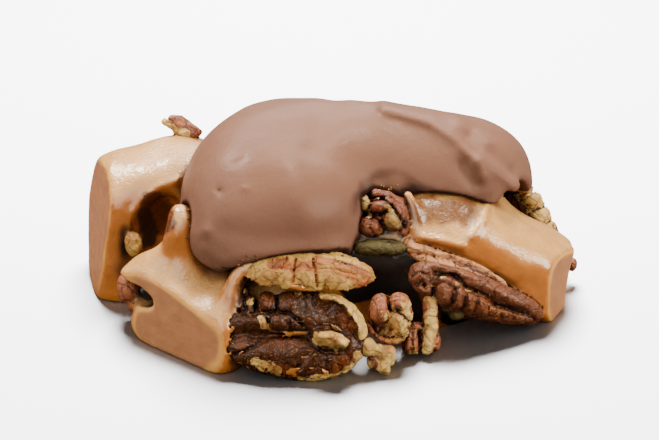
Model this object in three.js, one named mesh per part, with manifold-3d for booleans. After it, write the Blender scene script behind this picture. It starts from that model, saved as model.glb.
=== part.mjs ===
// A pecan caramel cluster: pecan halves and broken bits, held by poured caramel that was cut with a knife
// in places, under a thick pour of milk chocolate. Millimetres, +Z up, seen from -Y, standing on Z = 0.
//
// Every piece is a smooth field, negative inside and near to a distance in millimetres, and a net of
// triangles is drawn over its zero surface. Cuts, sockets and the flat base are boolean cuts.
import * as THREE from "three";
import { mergeVertices } from "three/addons/utils/BufferGeometryUtils.js";
import Module from "manifold-3d";

const wasm = await Module();
wasm.setup();

// Driving dimensions
const GAP = 0.32; // clearance between two pieces that touch
const CARAMEL_CELL = 3.05; // edge of the net's cells
const CHOCOLATE_CELL = 3.25;
const FRONT_CELL = 1.4; // of the halves that lie open in front
const HALF_CELL = 1.8;
const BIT_CELL = 1.25;
const CARAMEL_BLEND = 3.5; // how softly neighbouring folds flow together
const CHOCOLATE_BLEND = 5.0;
const HOLLOW_BLEND = 1.2;
const BIT_BLEND = 0.9;
const LIP_ROUNDING = 3.2; // of the chocolate's hanging edge
const CENTRE = [-1.15, 0.58]; // middle of the footprint below, which is moved over the origin

// Folds of caramel: centre, half sizes, exponent (2 is an ellipsoid, 4 a rounded slab), turn about Z and
// pitch about the fold's own Y axis, in degrees.
const CARAMEL_FOLDS = [
  { at: [3, 3, 6], half: [25, 19, 14], power: 2.6 }, // middle, under the chocolate
  { at: [-26.8, 4.6, 4.6], half: [12, 9.4, 15.8], power: 3.7, turn: 8, pitch: -14 }, // west
  { at: [-33, 1.5, 3], half: [5.6, 6, 4.6], power: 4, turn: 8 }, // its foot
  { at: [-21.5, 6.5, 12.4], half: [6.5, 8, 8.4], power: 2.4 }, // its shoulder
  { at: [-18.4, -14.1, 3.7], half: [9.8, 11, 7], power: 3.8, turn: -39, pitch: 14 }, // south west
  { at: [-22.6, -11.5, 9.6], half: [6.5, 4.5, 3.6], power: 2.3 }, // the flat top behind it
  { at: [-28.6, -13.4, 8.3], half: [4, 3.6, 2.5], power: 2.3 }, // brow over the notch
  { at: [-21.4, -14, 13.2], half: [2.6, 2.6, 7.2], power: 2.2, pitch: -6 }, // spur beside the chocolate
  { at: [-15.2, -17.6, 5], half: [2.1, 6.4, 7.6], power: 2.2 }, // roll against the front halves
  { at: [-16.4, -22.6, 2.6], half: [2.2, 4.4, 4.8], power: 2.3 }, // foot of the roll
  { at: [24, -5.8, 9.8], half: [16, 8.7, 6], power: 3.4, turn: 2, pitch: 27 }, // east, sloping down
  { at: [31, -5, 3.5], half: [6.5, 6.6, 5], power: 3.2 }, // foot of the east fold
  { at: [16.5, -4.6, 13], half: [9.5, 7.2, 6.6], power: 2.4 }, // saddle under the lifted edge
  { at: [16, 17, 6], half: [13, 10, 8.5], power: 2.8, turn: -20 }, // north east
  { at: [-6, 20, 6.5], half: [12, 9.5, 9], power: 2.8, turn: 8 }, // north
];
// Hollows in the caramel, given as the folds are.
const CARAMEL_HOLLOWS = [
  { at: [-27.2, -3.6, 10.4], half: [4.8, 7, 7.9], power: 2.2, turn: -24 }, // pocket west of the spur
  { at: [-27, -7.5, 9.5], half: [2.4, 4.5, 6], power: 2.2, turn: 12 }, // its mouth
  { at: [-30.6, -14.6, 7], half: [4.6, 5.2, 1.7], power: 2, turn: 20 }, // notch in the south west cut
  { at: [-33.4, -14.5, 5.4], half: [3.2, 4.5, 3.6], power: 2.2 }, // round the bit in the notch
  { at: [6, -22, 6], half: [15, 7.5, 11], power: 2.6 }, // recess behind the front halves
  { at: [20, -18.5, 8], half: [10.5, 4.6, 5.4], power: 2.4, pitch: 24 }, // under the east fold's front
  { at: [39.3, -3.2, 1.2], half: [4.4, 5.2, 7.2], power: 2.2 }, // at the foot of the east cut
];
// Flat knife cuts: a point on the cut and the way that the cut face looks.
const KNIFE_CUTS = [
  { at: [-24.1, -21.9, 0], out: [-0.62, -0.77, 0.12] },
  { at: [35.9, -7.6, 0], out: [0.88, -0.47, 0] },
  { at: [-39.4, 2, 0], out: [-0.955, -0.28, 0.18] },
  { at: [20, 27.2, 0], out: [0.45, 0.893, 0] },
];

// Bulges of the chocolate pour, given as the folds are.
const CHOCOLATE_BULGES = [
  { at: [-9, -5.6, 16.6], half: [14.6, 15.4, 12.3], power: 2.3, pitch: 8 }, // left lobe
  { at: [-14, -14.8, 16.6], half: [6.2, 6.6, 5.2], power: 2.2 }, // its lower corner
  { at: [-5.4, 4.6, 17], half: [14.4, 13.6, 11.7], power: 2.4 }, // left shoulder
  { at: [5, 3.6, 17.6], half: [14, 11.6, 10.6], power: 2.2 },
  { at: [15, 0.6, 16.8], half: [14, 9.8, 10.4], power: 2.2, turn: -12 },
  { at: [18.4, 7.4, 15.4], half: [13, 11.2, 9.6], power: 2.3, turn: -10 }, // right shoulder
];
// The hanging edge's height, and where it lifts over what stands beside or under it.
const LIP = {
  height: 12.6,
  rises: [
    { at: [8.2, -3], rise: 8.8, wide: 6.6 },
    { at: [17.5, -2.5], rise: 6, wide: 7.5 },
    { at: [26, -1], rise: 4.8, wide: 6 },
    { at: [-23, -11], rise: 4, wide: 5 },
  ],
};

// Pecan halves: centre, length, width, how thick the ridged back and the grooved face are, the way that the
// pointed end looks, and the way that the back looks.
const HALVES = {
  pecan_front: {
    at: [-6, -25.8, 5.9],
    size: { length: 21.2, width: 12.8, back: 5.4, face: 2.2 },
    tip: [-1, 0.02, 0],
    backWay: [0, 0.9, -0.42],
    cell: FRONT_CELL,
  },
  pecan_upper: {
    at: [-3.5, -20.8, 13.6],
    size: { length: 18.8, width: 9.2, back: 2.8, face: 0.6 },
    tip: [1, 0, -0.08],
    backWay: [0.03, -0.1, 1],
    cell: HALF_CELL,
  },
  pecan_right: {
    at: [21.4, -15, 6.7],
    size: { length: 23.4, width: 7.4, back: 3.9, face: 1.8 },
    tip: [0.884, 0.2, -0.45],
    backWay: [0.45, -0.5, 0.7],
    cell: FRONT_CELL,
  },
  pecan_right_inner: {
    at: [19.8, -11.6, 10.6],
    size: { length: 21, width: 9, back: 2.4, face: 2 },
    tip: [0.88, 0.1, -0.42],
    backWay: [0.4, -0.15, 0.9],
    cell: FRONT_CELL,
  },
  pecan_east: {
    at: [32.1, 5.2, 8],
    size: { length: 18, width: 7.6, back: 2.8, face: 1.8 },
    tip: [0.46, -0.4, -0.79],
    backWay: [0.8, 0.55, 0.2],
    cell: HALF_CELL,
  },
  pecan_west_tip: {
    at: [-23.8, 10, 22.4],
    size: { length: 9, width: 5, back: 1.2, face: 1.2 },
    tip: [-0.93, 0, 0.36],
    backWay: [0.2, -0.8, 0.5],
    cell: BIT_CELL,
  },
  pecan_north_west: {
    at: [-21, 19.5, 6.5],
    size: { length: 20, width: 11, back: 4.6, face: 1.8 },
    tip: [-0.8, -0.5, -0.2],
    backWay: [-0.4, 0.8, 0.35],
    cell: HALF_CELL,
  },
  pecan_north: {
    at: [5, 26, 7],
    size: { length: 21, width: 11, back: 4.8, face: 1.8 },
    tip: [0.96, 0.02, 0.2],
    backWay: [0, 0.93, 0.3],
    cell: HALF_CELL,
  },
};
// How every half is formed, as shares of its own sizes.
const HALF_POWER = 2.4;
const TAPER = 0.16; // narrower towards the pointed end
const BLUNTING = 0.08; // narrower towards both ends
const BACK_GROOVES = { side: 0.45, wide: 0.16, deep: 0.16 };
const FACE_GROOVE = { side: 0, wide: 0.2, deep: 0.5 };
// Wrinkles across the sides: depth, turns in a millimetre, how they sway, and where they begin.
const WRINKLES = { deep: 0.3, pace: 2.1, sway: 1.3, swayPace: 0.9, from: 0.4, full: 0.8 };

// Broken bits: the knuckles that each is made of, as a centre and half sizes.
const BITS = {
  pecan_bit_notch: [
    { at: [6.4, -11.2, 17.6], half: [2.6, 2.6, 2.3] },
    { at: [9.6, -11, 18.6], half: [2.8, 2.4, 2.8] },
    { at: [8.2, -10.6, 20.6], half: [2.8, 2.2, 1.7] },
  ],
  pecan_bit_shadow: [{ at: [6.6, -14.2, 14.3], half: [4.4, 2.8, 1.5] }],
  pecan_bit_hook: [
    { at: [6.4, -23.3, 8.4], half: [2.2, 2.4, 3] },
    { at: [9.4, -22.6, 8.8], half: [2.2, 2.3, 2.9] },
    { at: [9, -23.6, 5], half: [1.9, 1.8, 2.3] },
  ],
  pecan_bit_branch: [
    { at: [4.4, -26.2, 4.2], half: [1.5, 1.4, 1.2] },
    { at: [6.4, -26.2, 3.4], half: [1.9, 1.4, 1.4] },
    { at: [7, -26.4, 1.7], half: [1.4, 1.4, 1.6] },
  ],
  pecan_bit_stalk: [
    { at: [14.3, -20.2, 7.4], half: [1.1, 1.4, 2.6] },
    { at: [14.6, -20.6, 3.4], half: [1.7, 1.8, 2.9] },
    { at: [12, -20.4, 2.7], half: [2, 2, 2.6] },
  ],
  pecan_bit_under: [
    { at: [17.6, -17.4, 5.3], half: [1.7, 1.6, 1.6] },
    { at: [19.6, -17, 3.6], half: [1.8, 1.6, 1.5] },
  ],
  pecan_bit_pocket: [{ at: [-30.4, -7, 10.8], half: [1.5, 1.8, 2] }],
  pecan_bit_west: [
    { at: [-31.6, -11.2, 5.2], half: [1.8, 2.2, 3] },
    { at: [-30.4, -11.8, 3.2], half: [1.9, 2.2, 2.2] },
  ],
};
const BIT_POWER = 2.2;

const FINISHES = {
  caramel: { color: 0xc07a35, roughness: 0.3, metalness: 0 },
  chocolate: { color: 0x7b5443, roughness: 0.35, metalness: 0 },
  half: { color: 0x84472a, roughness: 0.6, metalness: 0 },
  bit: { color: 0xc9a468, roughness: 0.7, metalness: 0 },
};

const { clamp, degToRad, smoothstep } = THREE.MathUtils;
const vector = (values) => new THREE.Vector3(...values);

// Joins two fields, with a fillet of about the given size between them.
function softMin(a, b, size) {
  const near = Math.max(size - Math.abs(a - b), 0) / size;
  return Math.min(a, b) - (near * near * size) / 4;
}

const softMax = (a, b, size) => -softMin(-a, -b, size);

const joined = (fields, size) => (p) =>
  fields.reduce((least, field) => softMin(least, field(p), size), Infinity);

// Distance to a rounded body of the given half sizes: an ellipsoid at power 2, a soft-edged slab at 4.
function rounded(p, half, power) {
  const shares = half.map((size, axis) => Math.abs(p.getComponent(axis)) / size);
  const reach = shares.reduce((sum, share) => sum + share ** power, 0) ** (1 / power);
  const slope = Math.hypot(...shares.map((share, axis) => share ** (power - 1) / half[axis]));
  const isCentre = reach < Number.EPSILON;
  return isCentre ? -Math.min(...half) : ((reach - 1) * reach ** (power - 1)) / slope;
}

// The field of one fold, hollow, bulge or knuckle.
function foldField({ at, half, power = BIT_POWER, turn = 0, pitch = 0 }) {
  const angles = new THREE.Euler(0, degToRad(pitch), degToRad(turn), "ZYX");
  const toFold = new THREE.Matrix4().makeRotationFromEuler(angles).setPosition(...at).invert();
  const local = new THREE.Vector3();
  return (p) => rounded(local.copy(p).applyMatrix4(toFold), half, power);
}

function caramelField() {
  const folds = joined(CARAMEL_FOLDS.map(foldField), CARAMEL_BLEND);
  const hollows = CARAMEL_HOLLOWS.map(foldField);
  return (p) => hollows.reduce((most, hollow) => softMax(most, -hollow(p), HOLLOW_BLEND), folds(p));
}

// The pour, cut off below along a lip that rises over the notch and the east fold.
function chocolateField() {
  const bulges = joined(CHOCOLATE_BULGES.map(foldField), CHOCOLATE_BLEND);
  const lip = (p) =>
    LIP.rises.reduce((height, { at: [x, y], rise, wide }) => {
      const apart = Math.hypot(p.x - x, p.y - y) / wide;
      return height + rise * Math.exp(-(apart ** 3));
    }, LIP.height);
  return (p) => softMax(bulges(p), lip(p) - p.z, LIP_ROUNDING);
}

// The matrix from the part's frame to a half's own: X to the pointed end, Z to the back.
function toHalf({ at, tip, backWay }) {
  const x = vector(tip).normalize();
  const y = vector(backWay).cross(x).normalize();
  const z = new THREE.Vector3().crossVectors(x, y);
  return new THREE.Matrix4().makeBasis(x, y, z).setPosition(...at).invert();
}

const groove = ({ side, wide, deep }, at) => deep * Math.exp(-(((at - side) / wide) ** 2));

// A pecan half: two grooves along the ridged back, one along the face, and wrinkled sides.
function halfField(half) {
  const inverse = toHalf(half);
  const { length, width, back, face } = half.size;
  const local = new THREE.Vector3();
  return (p) => {
    local.copy(p).applyMatrix4(inverse);
    const { x, z } = local;
    const along = clamp((2 * x) / length, -1, 1);
    local.y /= 1 - TAPER * along - BLUNTING * along * along;
    const side = (2 * Math.abs(local.y)) / width;
    const body = rounded(local, [length / 2, width / 2, z > 0 ? back : face], HALF_POWER);
    const grooves = z > 0 ? back * groove(BACK_GROOVES, side) : face * groove(FACE_GROOVE, side);
    const phase = WRINKLES.pace * x + WRINKLES.sway * Math.sin(WRINKLES.swayPace * x);
    const wrinkles = WRINKLES.deep * Math.cos(phase) * smoothstep(side, WRINKLES.from, WRINKLES.full);
    return body + (1 - along ** 4) * (grooves + wrinkles);
  };
}

// Moves a point near a field's zero surface onto it, by at most a third of a cell.
function ontoSurface(field, point, cell) {
  const step = cell / 50;
  const leastSlope = 0.2;
  const slope = new THREE.Vector3();
  for (const axis of ["x", "y", "z"]) {
    const ahead = point.clone();
    const behind = point.clone();
    ahead[axis] += step;
    behind[axis] -= step;
    slope[axis] = (field(ahead) - field(behind)) / (2 * step);
  }
  const move = -field(point) / Math.max(slope.lengthSq(), leastSlope);
  return point.clone().addScaledVector(slope, clamp(move, -cell / 3, cell / 3));
}

// Every place of a grid from a first index up to its counts.
function* places(from, [nx, ny, nz]) {
  for (let k = from; k < nz; k++)
    for (let j = from; j < ny; j++)
      for (let i = from; i < nx; i++) yield [i, j, k];
}

const plus = (a, b) => a.map((value, axis) => value + b[axis]);
const less = (a, b) => a.map((value, axis) => value - b[axis]);

const CORNERS = [...places(0, [2, 2, 2])];
const isEdge = (a, b) => a.filter((value, axis) => value !== b[axis]).length === 1;
const EDGES = CORNERS.flatMap((a, i) => CORNERS.slice(i + 1).filter((b) => isEdge(a, b)).map((b) => [a, b]));
const STEPS = [[1, 0, 0], [0, 1, 0], [0, 0, 1]];
const TINY = 1e-3; // the value of a grid corner that is moved to the other side

// Where only the two ends of a diagonal of a grid square are inside, the net would touch itself: the corner
// nearest to the surface changes sides, until no such square is left.
function untangle(values, count, indexOf) {
  const isTangled = ([a, b, c, d]) => a < 0 === c < 0 && b < 0 === d < 0 && a < 0 !== b < 0;
  const nearer = (one, other) => (Math.abs(values[one]) < Math.abs(values[other]) ? one : other);
  const squares = [...places(0, less(count, [1, 1, 1]))].flatMap((spot) =>
    STEPS.map((u, axis) => {
      const v = STEPS[(axis + 1) % 3];
      return [spot, plus(spot, u), plus(plus(spot, u), v), plus(spot, v)].map(indexOf);
    }));
  const findTangled = () => squares.find((square) => isTangled(square.map((index) => values[index])));
  for (let square = findTangled(); square; square = findTangled()) {
    const nearest = square.reduce(nearer);
    values[nearest] = values[nearest] < 0 ? TINY : -TINY;
  }
}

// Draws a closed net of triangles over a field's zero surface: one vertex in each cell that the surface
// crosses, and one quad over each grid edge that it crosses.
function surfaceNet(field, box, cell) {
  const margin = 2 * cell;
  const low = box.min.clone().subScalar(margin);
  const count = box.max.clone().addScalar(margin).sub(low).divideScalar(cell).ceil().addScalar(1).toArray();
  const indexOf = ([i, j, k]) => i + count[0] * (j + count[1] * k);
  const placeOf = (spot) => vector(spot).multiplyScalar(cell).add(low);
  const values = [...places(0, count)].map((spot) => field(placeOf(spot)));
  untangle(values, count, indexOf);
  const valueAt = (spot) => values[indexOf(spot)];

  const vertexOf = new Map();
  const positions = [];
  for (const spot of places(0, less(count, [1, 1, 1]))) {
    const crossings = EDGES.flatMap(([a, b]) => {
      const [va, vb] = [valueAt(plus(spot, a)), valueAt(plus(spot, b))];
      return va < 0 === vb < 0 ? [] : [vector(a).lerp(vector(b), va / (va - vb))];
    });
    if (!crossings.length) continue;
    const mean = crossings.reduce((sum, one) => sum.add(one)).divideScalar(crossings.length);
    vertexOf.set(indexOf(spot), positions.length / 3);
    positions.push(...ontoSurface(field, placeOf(plus(spot, mean.toArray())), cell));
  }

  const faces = [];
  for (const spot of places(1, less(count, [1, 1, 1])))
    STEPS.forEach((step, axis) => {
      const isInside = valueAt(spot) < 0;
      if (isInside === valueAt(plus(spot, step)) < 0) return;
      const u = STEPS[(axis + 1) % 3];
      const v = STEPS[(axis + 2) % 3];
      const round = [spot, less(spot, u), less(less(spot, u), v), less(spot, v)];
      const [a, b, c, d] = (isInside ? round : round.reverse()).map((one) => vertexOf.get(indexOf(one)));
      faces.push(a, b, c, a, c, d);
    });
  const geometry = new THREE.BufferGeometry();
  geometry.setAttribute("position", new THREE.Float32BufferAttribute(positions, 3));
  return geometry.setIndex(faces);
}

function toSolid(geometry) {
  const bare = geometry.clone();
  bare.deleteAttribute("normal");
  bare.deleteAttribute("uv");
  const { attributes, index } = mergeVertices(bare);
  const vertProperties = new Float32Array(attributes.position.array);
  const triVerts = new Uint32Array(index.array);
  return new wasm.Manifold(new wasm.Mesh({ numProp: 3, vertProperties, triVerts }));
}

function toGeometry(solid) {
  const { numProp, numVert, vertProperties, triVerts } = solid.getMesh();
  const cornerOf = (i) => [...vertProperties.subarray(i * numProp, i * numProp + 3)];
  const positions = Array.from({ length: numVert }, (_, i) => cornerOf(i)).flat();
  const geometry = new THREE.BufferGeometry();
  geometry.setAttribute("position", new THREE.Float32BufferAttribute(positions, 3));
  return geometry.setIndex([...triVerts]);
}

// A piece as it is, and larger all round by the gap, which cuts its socket into what lies round it.
function pieceAndSocket(field, box, cell) {
  const net = surfaceNet(field, box, cell);
  const wider = net.clone();
  wider.computeVertexNormals();
  const { position, normal } = wider.attributes;
  position.array.forEach((value, i) => {
    position.array[i] = value + GAP * normal.array[i];
  });
  return { bare: toSolid(net), socket: toSolid(wider) };
}

// What is left of a solid after the cuts, without loose scraps.
function minus(solid, cutters) {
  const pieces = cutters.reduce((left, cutter) => left.subtract(cutter), solid).decompose();
  return pieces.reduce((largest, piece) => (piece.volume() > largest.volume() ? piece : largest));
}

// A block that fills everything beyond a flat cut.
function beyond({ at, out }) {
  const size = 120;
  const block = new THREE.BoxGeometry(size, size, size).translate(0, 0, size / 2);
  const facing = new THREE.Quaternion().setFromUnitVectors(vector([0, 0, 1]), vector(out).normalize());
  return toSolid(block.applyQuaternion(facing).translate(...at));
}

const floor = beyond({ at: [0, 0, 0], out: [0, 0, -1] });

// A box that holds every fold, bulge or knuckle of a list.
function boxOf(parts) {
  const box = new THREE.Box3();
  for (const { at, half } of parts) {
    const far = Math.hypot(...half);
    box.expandByPoint(vector(at).addScalar(far));
    box.expandByPoint(vector(at).subScalar(far));
  }
  return box;
}

function drawHalf([name, half]) {
  const { length } = half.size;
  const box = new THREE.Box3().setFromCenterAndSize(vector(half.at), vector([length, length, length]));
  return { name, finish: "half", ...pieceAndSocket(halfField(half), box, half.cell) };
}

function drawBit([name, knuckles]) {
  const field = joined(knuckles.map(foldField), BIT_BLEND);
  return { name, finish: "bit", ...pieceAndSocket(field, boxOf(knuckles), BIT_CELL) };
}

function toMesh({ name, solid, finish }) {
  const mesh = new THREE.Mesh(toGeometry(solid), new THREE.MeshStandardMaterial(FINISHES[finish]));
  mesh.name = name;
  return mesh;
}

// Each pecan piece gives way to the earlier ones.
function drawPecans() {
  const drawn = [...Object.entries(HALVES).map(drawHalf), ...Object.entries(BITS).map(drawBit)];
  return drawn.map((pecan, i) => {
    const earlier = drawn.slice(0, i).map(({ socket }) => socket);
    return { ...pecan, solid: minus(pecan.bare, [floor, ...earlier]) };
  });
}

// The caramel gives way to every pecan piece, and the chocolate to those and the caramel.
function buildCluster() {
  const pecans = drawPecans();
  const sockets = pecans.map(({ socket }) => socket);
  const caramel = pieceAndSocket(caramelField(), boxOf(CARAMEL_FOLDS), CARAMEL_CELL);
  const chocolate = pieceAndSocket(chocolateField(), boxOf(CHOCOLATE_BULGES), CHOCOLATE_CELL);
  const caramelCuts = [floor, ...KNIFE_CUTS.map(beyond), ...sockets];
  const chocolateCuts = [caramel.socket, ...sockets];
  const cluster = new THREE.Group();
  cluster.add(
    toMesh({ name: "caramel", finish: "caramel", solid: minus(caramel.bare, caramelCuts) }),
    toMesh({ name: "chocolate", finish: "chocolate", solid: minus(chocolate.bare, chocolateCuts) }),
    ...pecans.map(toMesh),
  );
  cluster.position.set(-CENTRE[0], -CENTRE[1], 0);
  return cluster;
}

export default buildCluster();
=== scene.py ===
"""A pecan caramel cluster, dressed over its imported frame.

Pecan halves and broken bits are held by poured caramel, cut with a knife in places, under a thick pour of
milk chocolate. Every piece is a smooth field, negative inside and near to a distance in millimetres, with a
fine net of quads drawn over its zero surface. Sizes are millimetres until a mesh is made.
"""

import logging
import math
from dataclasses import dataclass
from enum import Enum
from functools import partial, reduce
from typing import Callable, Iterable, Sequence

import bpy
import numpy as np
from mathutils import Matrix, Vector

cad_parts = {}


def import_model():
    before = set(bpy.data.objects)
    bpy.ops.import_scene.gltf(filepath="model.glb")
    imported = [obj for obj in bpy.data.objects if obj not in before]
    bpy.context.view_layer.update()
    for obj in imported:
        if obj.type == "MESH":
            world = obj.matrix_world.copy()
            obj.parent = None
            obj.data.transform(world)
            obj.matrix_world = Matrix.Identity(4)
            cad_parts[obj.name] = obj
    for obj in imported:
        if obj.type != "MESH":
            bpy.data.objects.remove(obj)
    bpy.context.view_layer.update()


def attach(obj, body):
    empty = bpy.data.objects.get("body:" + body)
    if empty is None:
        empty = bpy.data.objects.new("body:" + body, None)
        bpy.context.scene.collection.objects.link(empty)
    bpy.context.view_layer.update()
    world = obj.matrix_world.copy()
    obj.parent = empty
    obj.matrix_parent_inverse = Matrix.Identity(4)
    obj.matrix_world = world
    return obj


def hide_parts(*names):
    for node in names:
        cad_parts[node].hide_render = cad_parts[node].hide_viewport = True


log = logging.getLogger("cluster")

Array = np.ndarray
Field = Callable[[Array], Array]
Spot = tuple[float, float]
Triple = tuple[float, float, float]
Path = tuple[Spot, ...]
Object = bpy.types.Object
Material = bpy.types.Material
Node = bpy.types.Node
Tree = bpy.types.NodeTree
Socket = bpy.types.NodeSocket
Inputs = dict[str | int, object]
Heights = Iterable[tuple[object, float]]

MM = 0.001
CENTRE = (-1.15, 0.58, 0.0)  # middle of the footprint of the shapes below, which is moved over the origin
FAR = 20.0  # the value given to points that are well away from a piece
SQUARE = ((0, 0), (1, 0), (1, 1), (0, 1))  # the corners of a grid square, in a ring
SWAY = ((0.32, 2.4), (0.13, 0.8))  # how far worked lines wander, and over what length
SHOULDER = 0.35  # share of a stroke's depth that is in its soft shoulders
SHOULDER_WIDTH = 2.4  # how many times wider than the stroke they are


def soft_min(one: Array, other: Array, size: float) -> Array:
    """Joins two fields, with a fillet of about the given size between them.

    Args:
        one: Values of the first field.
        other: Values of the second field.
        size: Size of the fillet.

    Returns:
        The values of the joined field.
    """
    near = np.maximum(size - np.abs(one - other), 0) / size
    return np.minimum(one, other) - near * near * size / 4


def soft_max(one: Array, other: Array, size: float) -> Array:
    """Keeps what two fields share, with an edge rounded by about the given size."""
    return -soft_min(-one, -other, size)


def blended(fields: Iterable[Array], size: float) -> Array:
    """Joins several fields, one after the other, with fillets of about the given size."""
    return reduce(lambda one, other: soft_min(one, other, size), fields)


def smoothstep(values: Array, low: float, high: float) -> Array:
    """Rises smoothly from 0 at low to 1 at high."""
    share = np.clip((values - low) / (high - low), 0, 1)
    return share * share * (3 - 2 * share)


def rounded(local: Array, half: Sequence[float] | Array, power: float) -> Array:
    """Distance to a rounded body: an ellipsoid at power 2, a soft-edged slab at 4.

    Args:
        local: Points in the body's own frame.
        half: Half sizes of the body, or a row of them for every point.
        power: How square the body is.

    Returns:
        The values of the field.
    """
    shares = np.abs(local) / np.array(half) + 1e-9
    reach = (shares**power).sum(axis=1) ** (1 / power)
    slope = np.sqrt(((shares ** (power - 1) / np.array(half)) ** 2).sum(axis=1))
    return (reach - 1) * reach ** (power - 1) / slope


class Noise:
    """Smooth noise between about -1 and 1, from a fixed table of directions."""

    def __init__(self, seed: int) -> None:
        random = np.random.default_rng(seed)
        ways = random.normal(size=(256, 3))
        self.ways = ways / np.linalg.norm(ways, axis=1, keepdims=True)
        self.order = random.permutation(256)

    def at(self, points: Array, size: float | Sequence[float]) -> Array:
        """Gives the noise at points, with features of about the given size."""
        place = points / np.array(size)
        cell = np.floor(place).astype(np.int64)
        part = place - cell
        ease = part * part * part * (part * (part * 6 - 15) + 10)
        total = np.zeros(len(points))
        for corner in np.ndindex(2, 2, 2):
            spot = (cell + corner) & 255
            first = self.order[spot[:, 0]]
            second = self.order[(first + spot[:, 1]) & 255]
            way = self.ways[self.order[(second + spot[:, 2]) & 255]]
            share = np.where(corner, ease, 1 - ease).prod(axis=1)
            total += share * ((part - corner) * way).sum(axis=1)
        return total * 1.6

    def rough(self, points: Array, size: float, octaves: int) -> Array:
        """Adds octaves of the noise, each half as large and half as strong as the one before."""
        return sum(self.at(points + 7.3 * i, size / 2**i) / 2**i for i in range(octaves))

    def ridged(self, points: Array, size: float | Sequence[float]) -> Array:
        """Gives 1 along thin winding lines, and 0 well away from them."""
        return (1 - np.minimum(np.abs(self.at(points, size)) * 2.2, 1)) ** 2


NOISE = Noise(seed=41)


@dataclass(frozen=True)
class FrontView:
    """The view from the front, in which small features are placed.

    A spot in it is how far across and how far up, in millimetres on the plane through the aim, and how far
    towards the eye.
    """

    aim: Triple = (-0.7, 0.0, 11.7)
    distance: float = 287.0
    elevation: float = 27.0
    lens: float = 100.0
    sensor: float = 36.0

    @property
    def upwards(self) -> Array:
        """The way that is up in the view."""
        angle = math.radians(self.elevation)
        return np.array((0, math.sin(angle), math.cos(angle)))

    @property
    def towards(self) -> Array:
        """The way to the eye."""
        angle = math.radians(self.elevation)
        return np.array((0, -math.cos(angle), math.sin(angle)))

    def spots(self, points: Array) -> Array:
        """Turns points into spots of the view."""
        apart = points - np.array(self.aim)
        toward = apart @ self.towards
        scale = self.distance / (self.distance - toward)
        return np.stack((apart[:, 0] * scale, apart @ self.upwards * scale, toward), axis=1)

    def place(self, spot: Sequence[float]) -> Array:
        """Turns one spot of the view back into a point."""
        across, up, toward = spot
        scale = (self.distance - toward) / self.distance
        sideways = np.array((across * scale, 0, 0))
        return np.array(self.aim) + sideways + self.upwards * up * scale + self.towards * toward


VIEW = FrontView()


def turned(degrees: float, axis: int) -> Array:
    """Gives the matrix of a turn about an axis."""
    cosine, sine = math.cos(math.radians(degrees)), math.sin(math.radians(degrees))
    first, second = (axis + 1) % 3, (axis + 2) % 3
    matrix = np.eye(3)
    matrix[first, first] = matrix[second, second] = cosine
    matrix[second, first], matrix[first, second] = sine, -sine
    return matrix


@dataclass(frozen=True)
class Fold:
    """A rounded mass: centre, half sizes, squareness, and its turn and pitch in degrees."""

    at: Triple
    half: Triple
    power: float = 2.2
    turn: float = 0.0
    pitch: float = 0.0

    def value(self, points: Array) -> Array:
        """Gives the mass's field at points."""
        local = (points - np.array(self.at)) @ (turned(self.turn, 2) @ turned(self.pitch, 1))
        return rounded(local, self.half, self.power)


@dataclass(frozen=True)
class Knob:
    """A rounded mass placed in the front view: its spot, half sizes, and turn in the picture."""

    spot: Triple
    half: Triple
    turn: float = 0.0
    power: float = 2.3

    def value(self, spots: Array) -> Array:
        """Gives the mass's field at spots."""
        return rounded((spots - np.array(self.spot)) @ turned(self.turn, 2), self.half, self.power)

    @property
    def box(self) -> Array:
        """The lowest and highest corner of a box that holds the mass."""
        at = VIEW.place(self.spot)
        far = math.hypot(*self.half)
        return np.array((at - far, at + far))


def away(spots: Array, path: Path) -> Array:
    """Measures how far spots are from a path in the picture."""
    if len(path) == 1:
        return np.hypot(spots[:, 0] - path[0][0], spots[:, 1] - path[0][1])
    nearest = np.full(len(spots), FAR)
    for start, end in zip(path, path[1:]):
        start, end = np.array(start), np.array(end)
        run = end - start
        apart = spots[:, :2] - start
        share = np.clip(apart @ run / (run @ run), 0, 1)
        nearest = np.minimum(nearest, np.hypot(*(apart - share[:, None] * run).T))
    return nearest


@dataclass(frozen=True)
class Strip:
    """A rounded strip along a path in the front view."""

    path: Path
    toward: float
    radius: float

    def value(self, spots: Array) -> Array:
        """Gives the strip's field at spots."""
        return np.hypot(away(spots, self.path), spots[:, 2] - self.toward) - self.radius

    @property
    def box(self) -> Array:
        """The lowest and highest corner of a box that holds the strip."""
        ends = np.array([VIEW.place((*spot, self.toward)) for spot in self.path])
        return np.array((ends.min(axis=0) - self.radius, ends.max(axis=0) + self.radius))


@dataclass(frozen=True)
class Stroke:
    """A line worked into the front of a piece: how deep (raised, if negative) and how wide."""

    path: Path
    deep: float
    wide: float

    def value(self, spots: Array) -> Array:
        """Gives how much the stroke takes off at spots."""
        apart = away(spots, self.path) / self.wide
        shoulders = SHOULDER * np.exp(-((apart / SHOULDER_WIDTH) ** 2))
        return self.deep * ((1 - SHOULDER) * np.exp(-(apart**2)) + shoulders)


@dataclass(frozen=True)
class Mark:
    """A patch of another finish along a path in the front view."""

    path: Path
    wide: float
    strength: float = 1.0
    core: float = 0.7  # share of its width at which it starts to fade

    def value(self, spots: Array, fray: Array) -> Array:
        """Gives the patch's mask at spots, with a frayed edge."""
        reach = away(spots, self.path) / self.wide + 0.4 * fray
        return self.strength * (1 - smoothstep(reach, self.core, 1.1))


def crooked(points: Array) -> Array:
    """Gives the points' spots in the front view, pushed about so that no worked line is straight."""
    spots = VIEW.spots(points)
    for axis in (0, 1):
        shifted = points + 40.0 * (axis + 1)
        spots[:, axis] += sum(far * NOISE.at(shifted, size) for far, size in SWAY)
    return spots


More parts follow.
